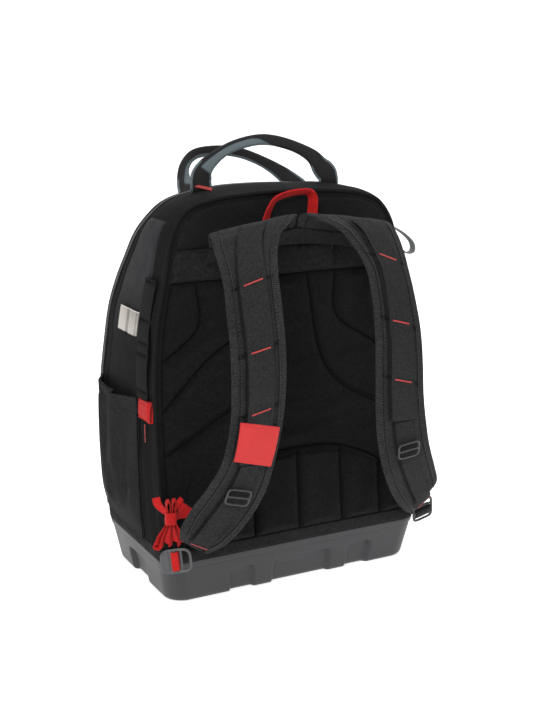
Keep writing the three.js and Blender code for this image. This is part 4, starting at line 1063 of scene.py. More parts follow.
band_cloth = woven(
    "band_cloth", (0.005, 0.005, 0.0053), (0.024, 0.024, 0.02544), 0.0024, 0.0010, rough=0.8,
    sheen=0.02, along=0.5
)
dress(
    walled("band_face", band_face, band_under, cloth_map(band_face)), band_cloth, "webbing",
    "back_band", fill=0.4
)

seams = [
    [(0.135, 0.755), (0.225, 0.506), (0.36, 0.424), (0.63, 0.354), (1, 0.27)],
    [(0.35, 0.755), (0.35, 0.63), (0.645, 0.534), (1, 0.39)],
    [(0.685, 0.755), (0.685, 0.636), (1, 0.53)],
]
lumbar_half = [(0, 0.248), (0.28, 0.24), (0.5, 0.208), (0.65, 0.17), (0.79, 0.088), (0.86, 0)]
lumbar_arch = bend([(-h, r) for h, r in lumbar_half[:0:-1]] + lumbar_half, 120)
pad_seams = [bend([(s * h, r) for h, r in rows]) for s in (-1, 1) for rows in seams]
lumbar_channels = [
    [(across(s * h), shell["base"] - 0.001), (across(s * h), up_to(0.26))] for h in (0, 0.34, 0.65)
    for s in (-1, 1)
]


def puffed(name, x, z, held, thick, fullness):
    """A pad's face. It starts 1 - exp(-d/l) thick, d being the distance to what holds it,
    and is then blown up as cloth pinned wherever d is under 2 mm."""
    off = back["seat"] + thick * (1 - np.exp(-held / 0.0045))
    points = on_back(x, z, off)
    rows, columns = x.shape
    faces, _, _ = quads(rows, columns, False, False)
    trial = mesh_piece(name + "_trial", points, faces)
    pins = trial.vertex_groups.new(name="held")
    pins.add(np.nonzero(held.ravel() < 0.0022)[0].tolist(), 1.0, "REPLACE")
    cloth = trial.modifiers.new("cloth", "CLOTH")
    cloth.settings.quality = 5
    cloth.settings.mass = 0.25
    cloth.settings.tension_stiffness = 12
    cloth.settings.compression_stiffness = 6
    cloth.settings.shear_stiffness = 4
    cloth.settings.bending_stiffness = 6
    cloth.settings.vertex_group_mass = "held"
    cloth.settings.shrink_min = -fullness
    cloth.settings.use_pressure = True
    cloth.settings.uniform_pressure_force = 2.5
    cloth.settings.effector_weights.gravity = 0
    cloth.collision_settings.use_collision = False
    cloth.point_cache.frame_start = 1
    cloth.point_cache.frame_end = 20
    for moment in range(1, 21):
        bpy.context.scene.frame_set(moment)
    seen = trial.evaluated_get(bpy.context.evaluated_depsgraph_get()).data
    blown = np.empty(len(seen.vertices) * 3)
    seen.vertices.foreach_get("co", blown)
    bpy.context.scene.frame_set(1)
    bpy.data.objects.remove(trial)
    moved = blown.reshape(points.shape) - points
    far = np.linalg.norm(moved, axis=-1, keepdims=True)
    return points + moved * np.minimum(1, 0.004 / np.maximum(far, 1e-9))


# The back pad reaches from the band down to the arch of the lumbar pad and on beside it.
pad_v, pad_u = np.meshgrid(np.linspace(0, 1, 180), np.linspace(-1, 1, 180), indexing="ij")
arch_height = np.interp(
    np.abs(pad_u) * half_width * 0.955, lumbar_arch[60:, 0], lumbar_arch[60:, 1],
    right=shell["base"])
pad_low = np.maximum(arch_height, shell["base"]) + 0.0016
pad_z = mix(pad_low, up_to(back["band_low"]) - 0.0006, pad_v)
pad_x = pad_u * half_width_at(pad_z, back["pad_gap"])
pad_edge = np.minimum(
    half_width_at(pad_z, back["pad_gap"]) - np.abs(pad_x), up_to(back["band_low"]) - 0.0006 - pad_z
)
pad_edge = np.minimum(pad_edge, to_lines(pad_x, pad_z, [lumbar_arch]))
pad_held = np.minimum(np.maximum(pad_edge, 0), to_lines(pad_x, pad_z, pad_seams))
pad_face = puffed("back_pad", pad_x, pad_z, pad_held, 0.0074, 0.004)
stitch_line = to_lines(
    pad_x, pad_z, [line + (0, 0.0052) for line in pad_seams[:1] + pad_seams[3:4]]
)
pad_face = (
    pad_face
    + np.array([0, 1.0, 0])
    * (groove(stitch_line, 0, 0.0016) * 0.0020 * step(pad_held, 0.001, 0.004))[..., None]
)
pad_under = on_back(pad_x, pad_z, 0 * pad_x + back["seat"] * 0.5)
back_mesh = woven(
    "back_mesh", (0.0014, 0.0015, 0.0017), (0.0100, 0.0104, 0.0114), 0.0020, 0.0009, rough=0.78,
    sheen=0.02, along=0.8, seam_shade=True
)
back_pad = walled("back_pad_face", pad_face, pad_under, cloth_map(pad_face))
# Painted shade: darker along the pad's seams and beside its stitch line.
mark(
    back_pad, "seam_shade",
    np.clip(groove(pad_held, 0, 0.0020) + groove(stitch_line, 0, 0.0012) * 0.6, 0, 1)
)
dress(back_pad, back_mesh, "back_mesh", "back_pad", fill=0.6)

lumbar_v, lumbar_u = np.meshgrid(np.linspace(0, 1, 90), np.linspace(-1, 1, 170), indexing="ij")
lumbar_x = lumbar_u * across(0.858)
lumbar_top = np.interp(np.abs(lumbar_x), lumbar_arch[60:, 0], lumbar_arch[60:, 1]) - 0.0014
lumbar_z = mix(shell["base"] + 0.0008, np.maximum(lumbar_top, shell["base"] + 0.002), lumbar_v)
lumbar_edge = np.minimum(to_lines(lumbar_x, lumbar_z, [lumbar_arch]), lumbar_z - shell["base"])
lumbar_held = np.minimum(np.maximum(lumbar_edge, 0), to_lines(lumbar_x, lumbar_z, lumbar_channels))
lumbar_face = puffed("lumbar_pad", lumbar_x, lumbar_z, lumbar_held, 0.0105, 0.004)
rim_line = to_lines(lumbar_x, lumbar_z, [lumbar_arch - (0, 0.0075)])
lumbar_face = (
    lumbar_face + np.array([0, 1.0, 0]) * (groove(rim_line, 0, 0.0016) * 0.0022)[..., None]
)
lumbar_under = on_back(lumbar_x, lumbar_z, 0 * lumbar_x + back["seat"] * 0.5)
lumbar_pad = walled("lumbar_pad_face", lumbar_face, lumbar_under, cloth_map(lumbar_face))
# Painted shade: darker along the pad's channels and edges, and along the dent under its arch.
mark(
    lumbar_pad, "seam_shade",
    np.clip(groove(lumbar_held, 0, 0.0020) + groove(rim_line, 0, 0.0012) * 0.6, 0, 1)
)
dress(lumbar_pad, back_mesh, "back_mesh", "lumbar_pad", fill=0.7)


# The shoulder straps
# Flat padded straps of coarse charcoal cloth. Fuzzy tape binds both edges, with a line of
# stitching beside it; the cloth puckers towards the bartacks of the webbing.
strap_rows = np.array([
    (0.904, 0.863, 0.008, 0.63, 0.25, 0.25), (0.93, 0.89, 0.010, 0.645, 0.3, 0.3),
    (0.941, 0.902, 0.028, 0.66, 0.38, 0.385), (0.925, 0.89, 0.11, 0.67, 0.49, 0.49),
    (0.9, 0.862, 0.21, 0.68, 0.59, 0.585), (0.857, 0.823, 0.275, 0.68, 0.71, 0.69),
    (0.797, 0.78, 0.32, 0.68, 0.865, 0.775), (0.716, 0.712, 0.33, 0.69, 0.955, 0.86),
    (0.608, 0.608, 0.33, 0.70, 1, 0.955), (0.51, 0.51, 0.332, 0.708, 0.98, 0.965),
    (0.413, 0.413, 0.345, 0.72, 0.92, 0.935), (0.294, 0.3, 0.385, 0.775, 0.82, 0.845),
    (0.185, 0.229, 0.46, 0.85, 0.73, 0.71), (0.1, 0.164, 0.57, 0.935, 0.61, 0.565),
    (0.046, 0.11, 0.68, 0.985, 0.505, 0.47), (0.016, 0.067, 0.78, 0.965, 0.375, 0.335),
])
strap = {"reach": 0.110, "face": 0.0055, "edge": 0.003, "tape": 0.0105}


def strap_frame(sign, t):
    """Middle, cross, along, out and width of a strap at stations t from its crest to its
    end. Cross runs from the inner to the outer edge, and out points away from the back."""
    def edge(rise, half, off):
        z = up_to(strap_rows[:, rise])
        line = np.stack(
            [sign * across(strap_rows[:, half]), back_at(z) - strap_rows[:, off] * strap["reach"],
             z],
            -1
        )
        return lambda s: curve_through(line, s)

    inner, outer = edge(0, 2, 4), edge(1, 3, 5)
    t = np.asarray(t, float)
    middle = (inner(t) + outer(t)) / 2
    span = outer(t) - inner(t)
    cross = unit(span)
    low, high = np.clip(t - 0.005, 0, 1), np.clip(t + 0.005, 0, 1)
    along = (inner(high) + outer(high) - inner(low) - outer(low)) / 2
    along = unit(along - (along * cross).sum(-1, keepdims=True) * cross)
    return middle, cross, along, np.cross(along, cross) * sign, np.linalg.norm(span, axis=-1)


def on_strap(sign, t, beside, lift):
    """Points at stations t, beside the middle line and lifted off the middle surface."""
    middle, cross, _, out, _ = strap_frame(sign, t)
    return middle + cross * np.asarray(beside)[..., None] + out * np.asarray(lift)[..., None]


webbing = {
    "lift": 0.00685, "thick": 0.0016, "width": 0.036, "lower": 0.027,
    "cuts": {"left": (0.315, 0.134), "right": (0.288, 0.161)},
}
webbing_ends = {-1: 22 / 30, 1: 21 / 30}
tack_heights = {-1: (0.440, 0.361, 0.285), 1: (0.454, 0.375, 0.299)}


def station_at(sign, z):
    """The station of a strap's middle line at a height, below its crest."""
    stations = np.linspace(0.2, 1, 400)
    heights = strap_frame(sign, stations)[0][:, 2]
    return np.interp(-np.asarray(z), -heights, stations)


strap_turn = np.linspace(0, math.tau, 104, endpoint=False)
strap_t = np.linspace(0, 1, 380)


def strap_body(sign):
    """Rings round the strap: half thickness is the edge's 1.5 mm, crowned to 2.75 mm over
    the middle, with a dent along each tape and creases fanning out of the bartacks."""
    _, _, _, _, width = strap_frame(sign, strap_t)
    across_share = squared_off(np.cos(strap_turn), 0.8)
    side = squared_off(np.sin(strap_turn), 0.35)
    beside = across_share[None, :] * width[:, None] / 2
    inward = width[:, None] / 2 - np.abs(beside)
    run = strap_t[:, None] * 0.62
    crown = strap["edge"] / 2 + (strap["face"] - strap["edge"]) / 2 * step(inward, 0.003, 0.014)
    creases = 0
    for station in station_at(sign, tack_heights[sign]):
        away = strap_t[:, None] - station - beside * 0.28 / 0.62 * (1.0 if sign < 0 else 1.4) * 0.8
        creases = creases - 2.4 * np.exp(-(away / 0.0052) ** 2) * step(inward, 0.006, 0.012) + 1.0 * np.exp(
            -(away / 0.014) ** 2) * step(inward, 0.004, 0.016)
    relief = (
        ripple(beside + 0.3 * sign, run, 0.06, 61) * 0.0005
        + ripple(beside, run, 0.02, 62) * 0.00016
        + creases * 0.0006 - groove(inward, strap["tape"] + 0.0007, 0.0010) * 0.0010
        + 0.0005 * (inward < strap["tape"]) * step(inward, 0.0, 0.003)
        + ripple(beside * 3, run, 0.010, 63) * 0.00012 * (inward < strap["tape"])
    )
    lift = side[None, :] * (crown + relief)
    seat = np.where(
        strap_t[:, None] < webbing_ends[sign], webbing["width"] / 2, webbing["lower"] / 2
    )
    shade = np.clip(
        groove(inward, strap["tape"] + 0.0007, 0.0011) + np.clip(-creases, 0, 1) * (side > 0)
        + groove(np.abs(beside), seat + 0.0008, 0.0016) * (side > 0), 0, 1)
    return (
        on_strap(sign, np.broadcast_to(strap_t[:, None], lift.shape), beside, lift), beside, inward,
        shade
    )


def strap_uv(sign, beside):
    run = lengths(strap_frame(sign, strap_t)[0][:, None], 0)
    loop = np.concatenate([beside, beside[:, :1]], 1)
    return np.stack([loop + 0.5, run[:, None] + 0 * loop], -1)


strap_cloth = Finish(
    "strap_cloth", {"Sheen Weight": 0.04, "Sheen Roughness": 0.5, "Specular IOR Level": 0.14}
)
u, v = strap_cloth.cloth_uv()
weave = (u * (math.pi / 0.0016)).maths("SINE") * (v * (math.pi / 0.0016)).maths("SINE")
fuzz = strap_cloth.noise(430.0, 3.0)
patch = strap_cloth.noise(16.0, 4.0)
taped = strap_cloth.add("Attribute", {"attribute_name": "taped"}, {}, out=2)
coarse = strap_cloth.blend(
    0.45 + weave * 0.25 + (fuzz - 0.5) * 1.5 + (patch - 0.5) * 0.4, (0.0050, 0.0050, 0.0052),
    (0.037, 0.037, 0.0388)
)
ribs = (v * (math.pi / 0.0011)).maths("SINE")
taping = strap_cloth.blend(
    0.42 + ribs * 0.25 + (fuzz - 0.5) * 1.7 + (patch - 0.5) * 0.4, (0.0055, 0.0055, 0.0058),
    (0.040, 0.040, 0.042)
)
shaded = strap_cloth.add("Attribute", {"attribute_name": "shaded"}, {}, out=2)
strap_cloth.wear("Base Color", strap_cloth.blend(
    shaded * 0.85, strap_cloth.blend(taped, coarse, taping), (0.0016, 0.0016, 0.0017)))
strap_cloth.wear("Roughness", 0.88 + (fuzz - 0.5) * 0.15)
strap_cloth.bump(weave * 0.45 * (1 - taped) + ribs * 0.3 * taped + fuzz * 0.9, 0.0008)


for name, sign in (("left", -1), ("right", 1)):
    body_points, body_beside, body_inward, body_shade = strap_body(sign)
    body = surface(
        f"strap_pad_{name}", body_points, strap_uv(sign, body_beside), wrap_columns=True, caps=True
    )
    mark(body, "taped", step(body_inward, strap["tape"] + 0.0006, strap["tape"] - 0.0002))
    mark(body, "shaded", body_shade)
    dress(body, strap_cloth, "strap_cloth", f"shoulder_strap_{name}", fill=0.6)


# The webbing on the straps
# A wide woven tape lies along each strap. Red bartacks hold it in three places and it
# bows a little between them. Below it a narrower tape runs to the ladder lock.
def ribbon(name, middle, beside, out, width, thick, sides=28, sharp=0.32, lift=None, closed=False):
    """A woven tape along a line: each ring is a flat rounded section of the given width and
    thickness. lift(share across, share along) moves its points outward."""
    turn = np.linspace(0, math.tau, sides, endpoint=False)
    flat = squared_off(np.cos(turn), 0.75)
    tall = squared_off(np.sin(turn), sharp)
    count = len(middle)
    width, thick = (
        np.broadcast_to(np.asarray(a, float), (count,))[:, None] for a in (width, thick)
    )
    share = np.linspace(0, 1, count)[:, None] + 0 * flat
    raised = tall * thick / 2 + (0 if lift is None else lift(flat + 0 * share, share))
    points = (
        middle[:, None] + beside[:, None] * (flat * width / 2)[..., None]
        + out[:, None] * raised[..., None]
    )
    loop = np.concatenate([flat, flat[:1]]) * width / 2
    run = lengths(middle[:, None], 0)[:, None]
    if closed:
        run = np.concatenate([run, run[-1:] + (run[-1:] - run[-2:-1])])
        loop = np.concatenate([loop, loop[:1]])
    uv = np.stack([loop, run + 0 * loop], -1)
    return surface(name, points, uv, wrap_rows=closed, wrap_columns=True, caps=not closed)


def together(name, pieces):
    """Joins pieces into one object."""
    with bpy.context.temp_override(active_object=pieces[0], selected_editable_objects=pieces):
        bpy.ops.object.join()
    pieces[0].name = name
    return pieces[0]


strap_webbing = woven(
    "strap_webbing", (0.0085, 0.0085, 0.0090), (0.036, 0.036, 0.0378), 0.0013, 0.0006, rough=0.76,
    sheen=0.02, along=0.6, mottling=0.15
)
for name, sign in (("left", -1), ("right", 1)):
    line = np.linspace(0.202, webbing_ends[sign], 240)
    stops = np.concatenate([[0.202], station_at(sign, tack_heights[sign]), [webbing_ends[sign]]])
    part = np.interp(line, stops, np.arange(len(stops)))
    bow = (
        np.abs(np.sin(math.pi * part)) ** 0.7
        * np.interp(line, [0.2, 0.25, 1], [0.0003, 0.0019, 0.0019])
    )
    middle, cross, along, out, _ = strap_frame(sign, line)
    cup = ripple(line, 0, 0.05, 71) * 0.0002
    middle = middle + out * (webbing["lift"] + webbing["thick"] / 2 - 0.0006 + bow + cup)[:, None]
    piece = ribbon(f"wide_webbing_{name}", middle, cross, out, webbing["width"], webbing["thick"],
                   lift=lambda a, b: 0.0003 * (np.abs(a) > 0.9) - 0.0002 * a ** 2)
    dress(piece, strap_webbing, "webbing", f"strap_webbing_{name}", held="laid",
          on=(f"strap_pad_{name}",),
          cut=(webbing["width"], webbing["cuts"][name][0]))
    line = np.linspace(webbing_ends[sign] + 0.002, 29 / 30, 150)
    middle, cross, along, out, _ = strap_frame(sign, line)
    wave = ripple(line, 0, 0.08, 72) * 0.0004
    middle = middle + out * (webbing["lift"] + webbing["thick"] / 2 - 0.0006 + wave)[:, None]
    piece = ribbon(f"narrow_webbing_{name}", middle, cross, out, webbing["lower"], webbing["thick"])
    dress(piece, strap_webbing, "webbing", f"lower_webbing_{name}", held="laid",
          on=(f"strap_pad_{name}",),
          cut=(webbing["lower"], webbing["cuts"][name][1]))


# The patch on the left strap
# A bare patch of red leather-like cloth, folded in at its edges and sewn down all round.
patch_t, patch_b = np.meshgrid(
    np.linspace(20 / 30 + 0.0015, 22 / 30 - 0.0015, 60), np.linspace(-1, 1, 80), indexing="ij"
)
patch_rim = np.minimum(
    (1 - np.abs(patch_b)) * 0.029,
    np.minimum(patch_t - patch_t.min(), patch_t.max() - patch_t) * 0.62
)
patch_off = (
    0.0006 + 0.0011 * (1 - np.exp(-patch_rim / 0.0007)) - groove(patch_rim, 0.0026, 0.0007) * 0.0005
    + ripple(patch_b * 0.03, patch_t * 0.6, 0.03, 73) * 0.0003
)
patch_lift = webbing["lift"] + 0.0018
patch_t = patch_t - patch_b * 0.0095
patch_face = on_strap(-1, patch_t, patch_b * 0.029, patch_lift + patch_off)
patch_under = on_strap(-1, patch_t, patch_b * 0.029, patch_lift + 0 * patch_off)
label = Finish("label_red", {"Specular IOR Level": 0.35})
label_grain = label.noise(240.0, 4.0)
label_patch = label.noise(22.0, 3.0)
label.wear("Base Color", label.blend(
    (label_grain - 0.5) * 0.8 + label_patch * 0.9, (0.40, 0.008, 0.009), (0.56, 0.018, 0.017)))
label.wear("Roughness", 0.5 + (label_grain - 0.5) * 0.25)
label.bump(label_grain, 0.0004, 0.5)
dress(walled("red_patch", patch_face, patch_under, cloth_map(patch_face)), label, "label",
      "label_patch",
      held="laid", on=("wide_webbing_left",), cut=(0.058, 0.054))


# The yoke
# A pad that joins both straps to the back, with a rolled binding along its lower seam.
yoke_u, yoke_v = np.meshgrid(np.linspace(-1, 1, 160), np.linspace(0, 1, 60))
yoke_away = np.abs(yoke_u)
yoke_z = up_to(mix(
    mix(0.848, 0.81, yoke_away ** 2), mix(strap_rows[0, 0], strap_rows[0, 1], yoke_away) - 0.0045,
    yoke_v))
yoke_x = across(yoke_u * strap_rows[0, 3])
yoke_middle = mix(0.0072 + 0.0035, 0.25 * strap["reach"], yoke_v ** 1.15)
yoke_thick = (
    0.0032
    * (1 - np.exp(-np.minimum((1 - yoke_away) * 0.12,
                              np.minimum(yoke_v + 0.02, 1 - yoke_v + 0.02) * 0.05) / 0.0025))
)
yoke_relief = ripple(yoke_x, yoke_z, 0.04, 81) * 0.0005 + ripple(yoke_x, yoke_z, 0.015, 82) * 0.0002
yoke_face = on_back(yoke_x, yoke_z, yoke_middle + yoke_thick + yoke_relief)
yoke_under = on_back(yoke_x, yoke_z, yoke_middle - yoke_thick)
yoke_cloth = woven(
    "yoke_cloth", (0.006, 0.006, 0.00636), (0.024, 0.024, 0.02544), 0.0018, 0.0007, rough=0.85,
    sheen=0.03
)
dress(
    walled("yoke_pad", yoke_face, yoke_under, cloth_map(yoke_face)), yoke_cloth, "strap_cloth",
    "yoke", fill=0.6
)


# The slide adjusters
# Slim rounded frames of black plastic with a middle bar, over which the webbing rises.
def frame_loop(name, origin, along, beside, out, length, width, radius, round_share=0.3, flat=1.0):
    """A closed rounded bar round a rectangle with rounded corners."""
    turn = np.linspace(0, math.tau, 96, endpoint=False)
    a = squared_off(np.cos(turn), round_share)
    b = squared_off(np.sin(turn), round_share)
    middle = origin + a[:, None] * along * length / 2 + b[:, None] * beside * width / 2
    ahead = unit(np.roll(middle, -1, 0) - np.roll(middle, 1, 0))
    side = unit(np.cross(ahead, out))
    points = tube(middle, side, np.tile(out * flat, (96, 1)), radius, 12)
    uv = np.stack(np.meshgrid(np.linspace(0, 0.01, 13), np.linspace(0, 0.1, 97)), -1)
    return surface(name, points, uv, wrap_rows=True, wrap_columns=True)


def bar(name, start, end, side, out, radius, flat=1.0):
    line = np.linspace(0, 1, 12)[:, None]
    middle = start + (end - start) * line
    points = tube(middle, np.tile(side, (12, 1)), np.tile(out * flat, (12, 1)), radius, 12)
    return surface(name, points, ring_map(points), wrap_columns=True, caps=True)


black_plastic = Finish("black_plastic", {"Specular IOR Level": 0.5})
plastic_grain = black_plastic.noise(500.0, 2.0)
black_plastic.wear(
    "Base Color", black_plastic.blend(plastic_grain, (0.010, 0.010, 0.0105), (0.020, 0.020, 0.021))
)
black_plastic.wear("Roughness", 0.32 + (plastic_grain - 0.5) * 0.2)
for name, sign, station in (("left", -1, 0.8), ("right", 1, 0.757)):
    middle, cross, along, out, _ = (a[0] for a in strap_frame(sign, [station]))
    origin = middle + out * 0.0112
    parts = [
        frame_loop("loop", origin, along, cross, out, 0.0212, 0.0318, 0.0016, 0.36, 0.9),
        bar("middle", origin - cross * 0.0155, origin + cross * 0.0155, along, out, 0.0017),
    ]
    dress(
        together(f"slider_{name}", parts), black_plastic, "buckle_plastic", f"strap_slider_{name}"
    )


# The ladder locks and the red adjusters
# Each lock is a plastic frame with two bars. Red webbing comes from the corner of the
# tub's binding, goes over the lock's bars, and the left one's tail is folded and wrapped.
lock = {"length": 0.041, "width": 0.033, "cuts": {"left": 0.059, "right": 0.069}}


grey_plastic = Finish("grey_plastic", {"Specular IOR Level": 0.5})
grey_grain = grey_plastic.noise(400.0, 2.0)
grey_plastic.wear(
    "Base Color", grey_plastic.blend(grey_grain, (0.045, 0.046, 0.049), (0.075, 0.077, 0.081))
)
grey_plastic.wear("Roughness", 0.42 + (grey_grain - 0.5) * 0.2)
for name, sign, finish in (("left", -1, grey_plastic), ("right", 1, black_plastic)):
    end, end_cross, end_along, end_out, _ = (a[0] for a in strap_frame(sign, [1.0]))
    if sign < 0:
        along = unit(np.array([-0.886, 0.4, -0.1]))
        out = np.array([-0.42, -0.9, 0.12])
        beside, lift, drop = 0.003, -0.004, 0.022
    else:
        along = unit(end_along + unit(np.array([0.15, 0.05, -0.98])))
        out = unit(end_out + 1.4 * unit(np.array([-0.35, -0.93, 0.1])))
        beside, lift, drop = 0.008, 0.0, 0.0
    out = unit(out - along * (out @ along))
    cross = np.cross(out, along)
    origin = end + end_cross * beside + end_out * lift + along * 0.001 + np.array([0, 0, -drop])
    centre = origin + along * lock["length"] / 2
    half = lock["width"] / 2 - 0.0018

    def bar_at(share, radius):
        place = origin + along * share * lock["length"]
        return bar("bar", place - cross * half, place + cross * half, along, out, radius, 0.9)

    parts = [
        frame_loop("loop", centre, along, cross, out, lock["length"] - 0.0036, lock["width"]
                   - 0.0036, 0.0019,
                   0.5 if sign < 0 else 0.34, 0.85),
        bar_at(0.335, 0.0016), bar_at(0.535, 0.0022), bar_at(0.76, 0.0024),
    ]
    if sign < 0:
        plate_share, plate_side = np.meshgrid(
            np.linspace(0.60, 0.95, 24), np.linspace(-1, 1, 30), indexing="ij"
        )
        bound = half * np.sqrt(np.clip(1 - ((plate_share - 0.5) / 0.5) ** 2.6, 0.02, 1))
        plate = (
            origin + along * (plate_share * lock["length"])[..., None]
            + cross * (plate_side * bound)[..., None]
            + out * 0.0004
        )
        parts.append(walled("plate", plate + out * 0.0008, plate - out * 0.0008, cloth_map(plate)))
    dress(together(f"lock_{name}", parts), finish, "buckle_plastic", f"ladder_lock_{name}")

    def local(share, off):
        return origin + along * share * lock["length"] + out * off

    corner = tub["corner"] * (1 - math.sqrt(0.5)) - binding["proud"] * math.sqrt(0.5)
    anchor = np.array([
        sign * (half_width - corner + 0.0012), -half_depth + corner - 0.0012,
        binding["high"] - 0.0125])
    diagonal = unit(np.array([sign, -1.0, 0]))
    route = np.array([
        anchor, anchor + diagonal * 0.003, mix(anchor + diagonal * 0.004, local(0.4, -0.005), 0.55),
        local(0.415, -0.0045), local(0.425, 0), local(0.47, 0.0036), local(0.6, 0.0036),
        local(0.645, 0),
        local(0.66, -0.0045), local(0.7, -0.008),
    ])
    line = curve_through(route, np.linspace(0, 1, 140))
    facing = unit(np.cross(np.gradient(line, axis=0), cross))
    sides = np.tile(cross, (140, 1))
    adjuster = ribbon(f"adjuster_{name}", line, sides, facing, 0.025, 0.0015)
    dress(adjuster, red_tape if sign < 0 else strap_webbing, "red_webbing",
          f"adjuster_webbing_{name}",
          held="folded", on=(f"lock_{name}", "rim_binding"), cut=(0.025, lock["cuts"][name]))
    if sign < 0:
        tail_foot = local(0.55, -0.008) + np.array([-0.004, 0.001, lock["width"] / 2 + 0.0015])

# The folded tail of the left adjuster: hairpins fanned out under a wrapped waist, loops
# and a loose ear above it.
tail_facing = unit(np.array([-0.3, -1, 0]))
tail_side = unit(np.cross([0, 0, 1.0], tail_facing))
def tail_strip(pin, turned, width, thick=0.0013, count=70):
    """Webbing along a flat path in the tail's plane, its width turned about the path from
    square to that plane (0 degrees) to flat in it (90 degrees)."""
    flat = curve_through(np.array([(x, 0, z) for x, z in pin]), np.linspace(0, 1, count))
    line = tail_foot + flat[:, :1] * tail_side + flat[:, 2:] * np.array([0, 0, 1.0])
    ahead = unit(np.gradient(line, axis=0))
    within = unit(np.cross(ahead, tail_facing))
    angle = np.radians(
        np.interp(np.linspace(0, 1, count), np.linspace(0, 1, len(turned)), turned)
    )[:, None]
    sides = np.cos(angle) * tail_facing + np.sin(angle) * within
    return ribbon("fold", line, sides, unit(np.cross(ahead, sides)), width, thick, 22)


folds = []
for k in range(7):
    foot, waist = mix(-0.0180, 0.0160, k / 6), mix(-0.0048, 0.0048, k / 6)
    low = (0.0040, 0.0000, 0.0060, 0.0015, 0.0075, 0.0010, 0.0050)[k]
    lean = (52, 30, -28, 34, -30, 26, -40)[k]
    pin = [
        (waist, 0.034), (mix(waist, foot, 0.35), 0.024), (mix(waist, foot, 0.85), 0.012),
        (foot, low)
    ]
    folds.append(tail_strip(pin, [lean * 0.3, lean, lean], 0.0098))
hook = [
    (-0.0150, 0.0120), (-0.0205, 0.0075), (-0.0215, 0.0020), (-0.0170, 0.0000), (-0.0135, 0.0040)
]
folds.append(tail_strip(hook, [20, 30, 20], 0.0090))
for pin in (
    [(-0.0020, 0.040), (-0.0050, 0.052), (-0.0052, 0.0610), (-0.0025, 0.0635), (-0.0005, 0.0590),
     (-0.0004, 0.040)],
    [(0.0010, 0.040), (0.0022, 0.053), (0.0030, 0.0630), (0.0060, 0.0640), (0.0072, 0.0570),
     (0.0040, 0.040)],
):
    folds.append(tail_strip(pin, [0, 12, 0], 0.0095))
folds.append(
    tail_strip([(-0.0030, 0.042), (-0.0105, 0.0520), (-0.0165, 0.0600), (-0.0185, 0.0690)],
               [20, 60, 78, 84], 0.0105)
)
folds.append(
    tail_strip([(0.0050, 0.0500), (0.0100, 0.0600), (0.0150, 0.0655)], [20, 55, 60], 0.0070)
)
corner_points = np.array(
    [(0.0035, 0.0300), (0.0070, 0.0360), (0.0120, 0.0640), (0.0340, 0.0450), (0.0240, 0.0370)]
)
flap_v, flap_u = np.meshgrid(np.linspace(0, 1, 24), np.linspace(0, 1, 24), indexing="ij")
flap_flat = (
    corner_points[1] * ((1 - flap_u) * (1 - flap_v))[..., None]
    + corner_points[2] * ((1 - flap_u) * flap_v)[..., None]
    + corner_points[3] * (flap_u * (1 - 0.5 * (1 - flap_v)))[..., None]
    + corner_points[0] * (0.5 * flap_u * (1 - flap_v))[..., None]
)
flap_curl = (
    0.0010 - 0.0030 * flap_u * (1 - flap_u) * 4 * (1 - flap_v) - 0.0022 * flap_u
)[..., None]
flap_face = (
    tail_foot + flap_flat[..., :1] * tail_side + flap_flat[..., 1:] * np.array([0, 0, 1.0])
    + tail_facing * flap_curl
)
folds.append(walled("fold", flap_face, flap_face - tail_facing * 0.0013, cloth_map(flap_face)))
dress(together("tail_folds", folds), red_tape, "red_webbing", "tail_bundle",
      held="folded", on=("tail_wrapping",), cut=(0.010, 0.5))

turn = np.linspace(0, math.tau, 72, endpoint=False)
wrap_line = (
    tail_foot + np.array([0, 0, 0.0405])
    + tail_side * (squared_off(np.cos(turn), 0.5) * 0.0069)[:, None]
    + tail_facing * (squared_off(np.sin(turn), 0.5) * 0.0066)[:, None]
)
wrap_ahead = unit(np.roll(wrap_line, -1, 0) - np.roll(wrap_line, 1, 0))
wrap_out = unit(np.cross(wrap_ahead, [0, 0, 1.0]))
wrap_piece = ribbon(
    "tail_wrapping", wrap_line, np.tile([0.05, 0.0, 1.0], (72, 1)), wrap_out, 0.0165, 0.0014,
    closed=True
)
dress(
    wrap_piece, red_tape, "red_webbing", "tail_wrap", held="folded", on=("adjuster_left",),
    cut=(0.0165, 0.049)
)


# The hang loop
# A loop of red webbing, on edge, sewn under the upper panel's seam above the yoke.
hang_rows = np.array([
    (-0.52, 0), (-0.5, 0.2), (-0.43, 0.5), (-0.3, 0.8), (-0.1, 0.93), (0.2, 1), (0.42, 0.97),
    (0.49, 0.82),
    (0.48, 0.5), (0.46, 0),
])
hang_z = up_to(0.9) + hang_rows[:, 1] * 0.044
hang_line = curve_through(
    np.stack([hang_rows[:, 0] * 0.072, back_at(hang_z) - 0.0127, hang_z], -1),
    np.linspace(0, 1, 160))
hang_out = -unit(np.cross(np.gradient(hang_line, axis=0), [0, 1.0, 0]))
hang_lean = np.radians(
    np.interp(np.linspace(0, 1, 160), [0, 0.15, 0.35, 0.8, 1], [62, 60, 45, 28, 40])
)[:, None]
hang_side = np.cos(hang_lean) * np.array([0, 1.0, 0]) + np.sin(hang_lean) * hang_out
hang_loop = ribbon(
    "hang_loop", hang_line, hang_side, unit(np.cross(np.gradient(hang_line, axis=0), hang_side)),
    0.0150, 0.0019
)
dress(
    hang_loop, red_tape, "red_webbing", "grab_loop", held="folded", on=("upper_face",),
    cut=(0.015, 0.149)
)


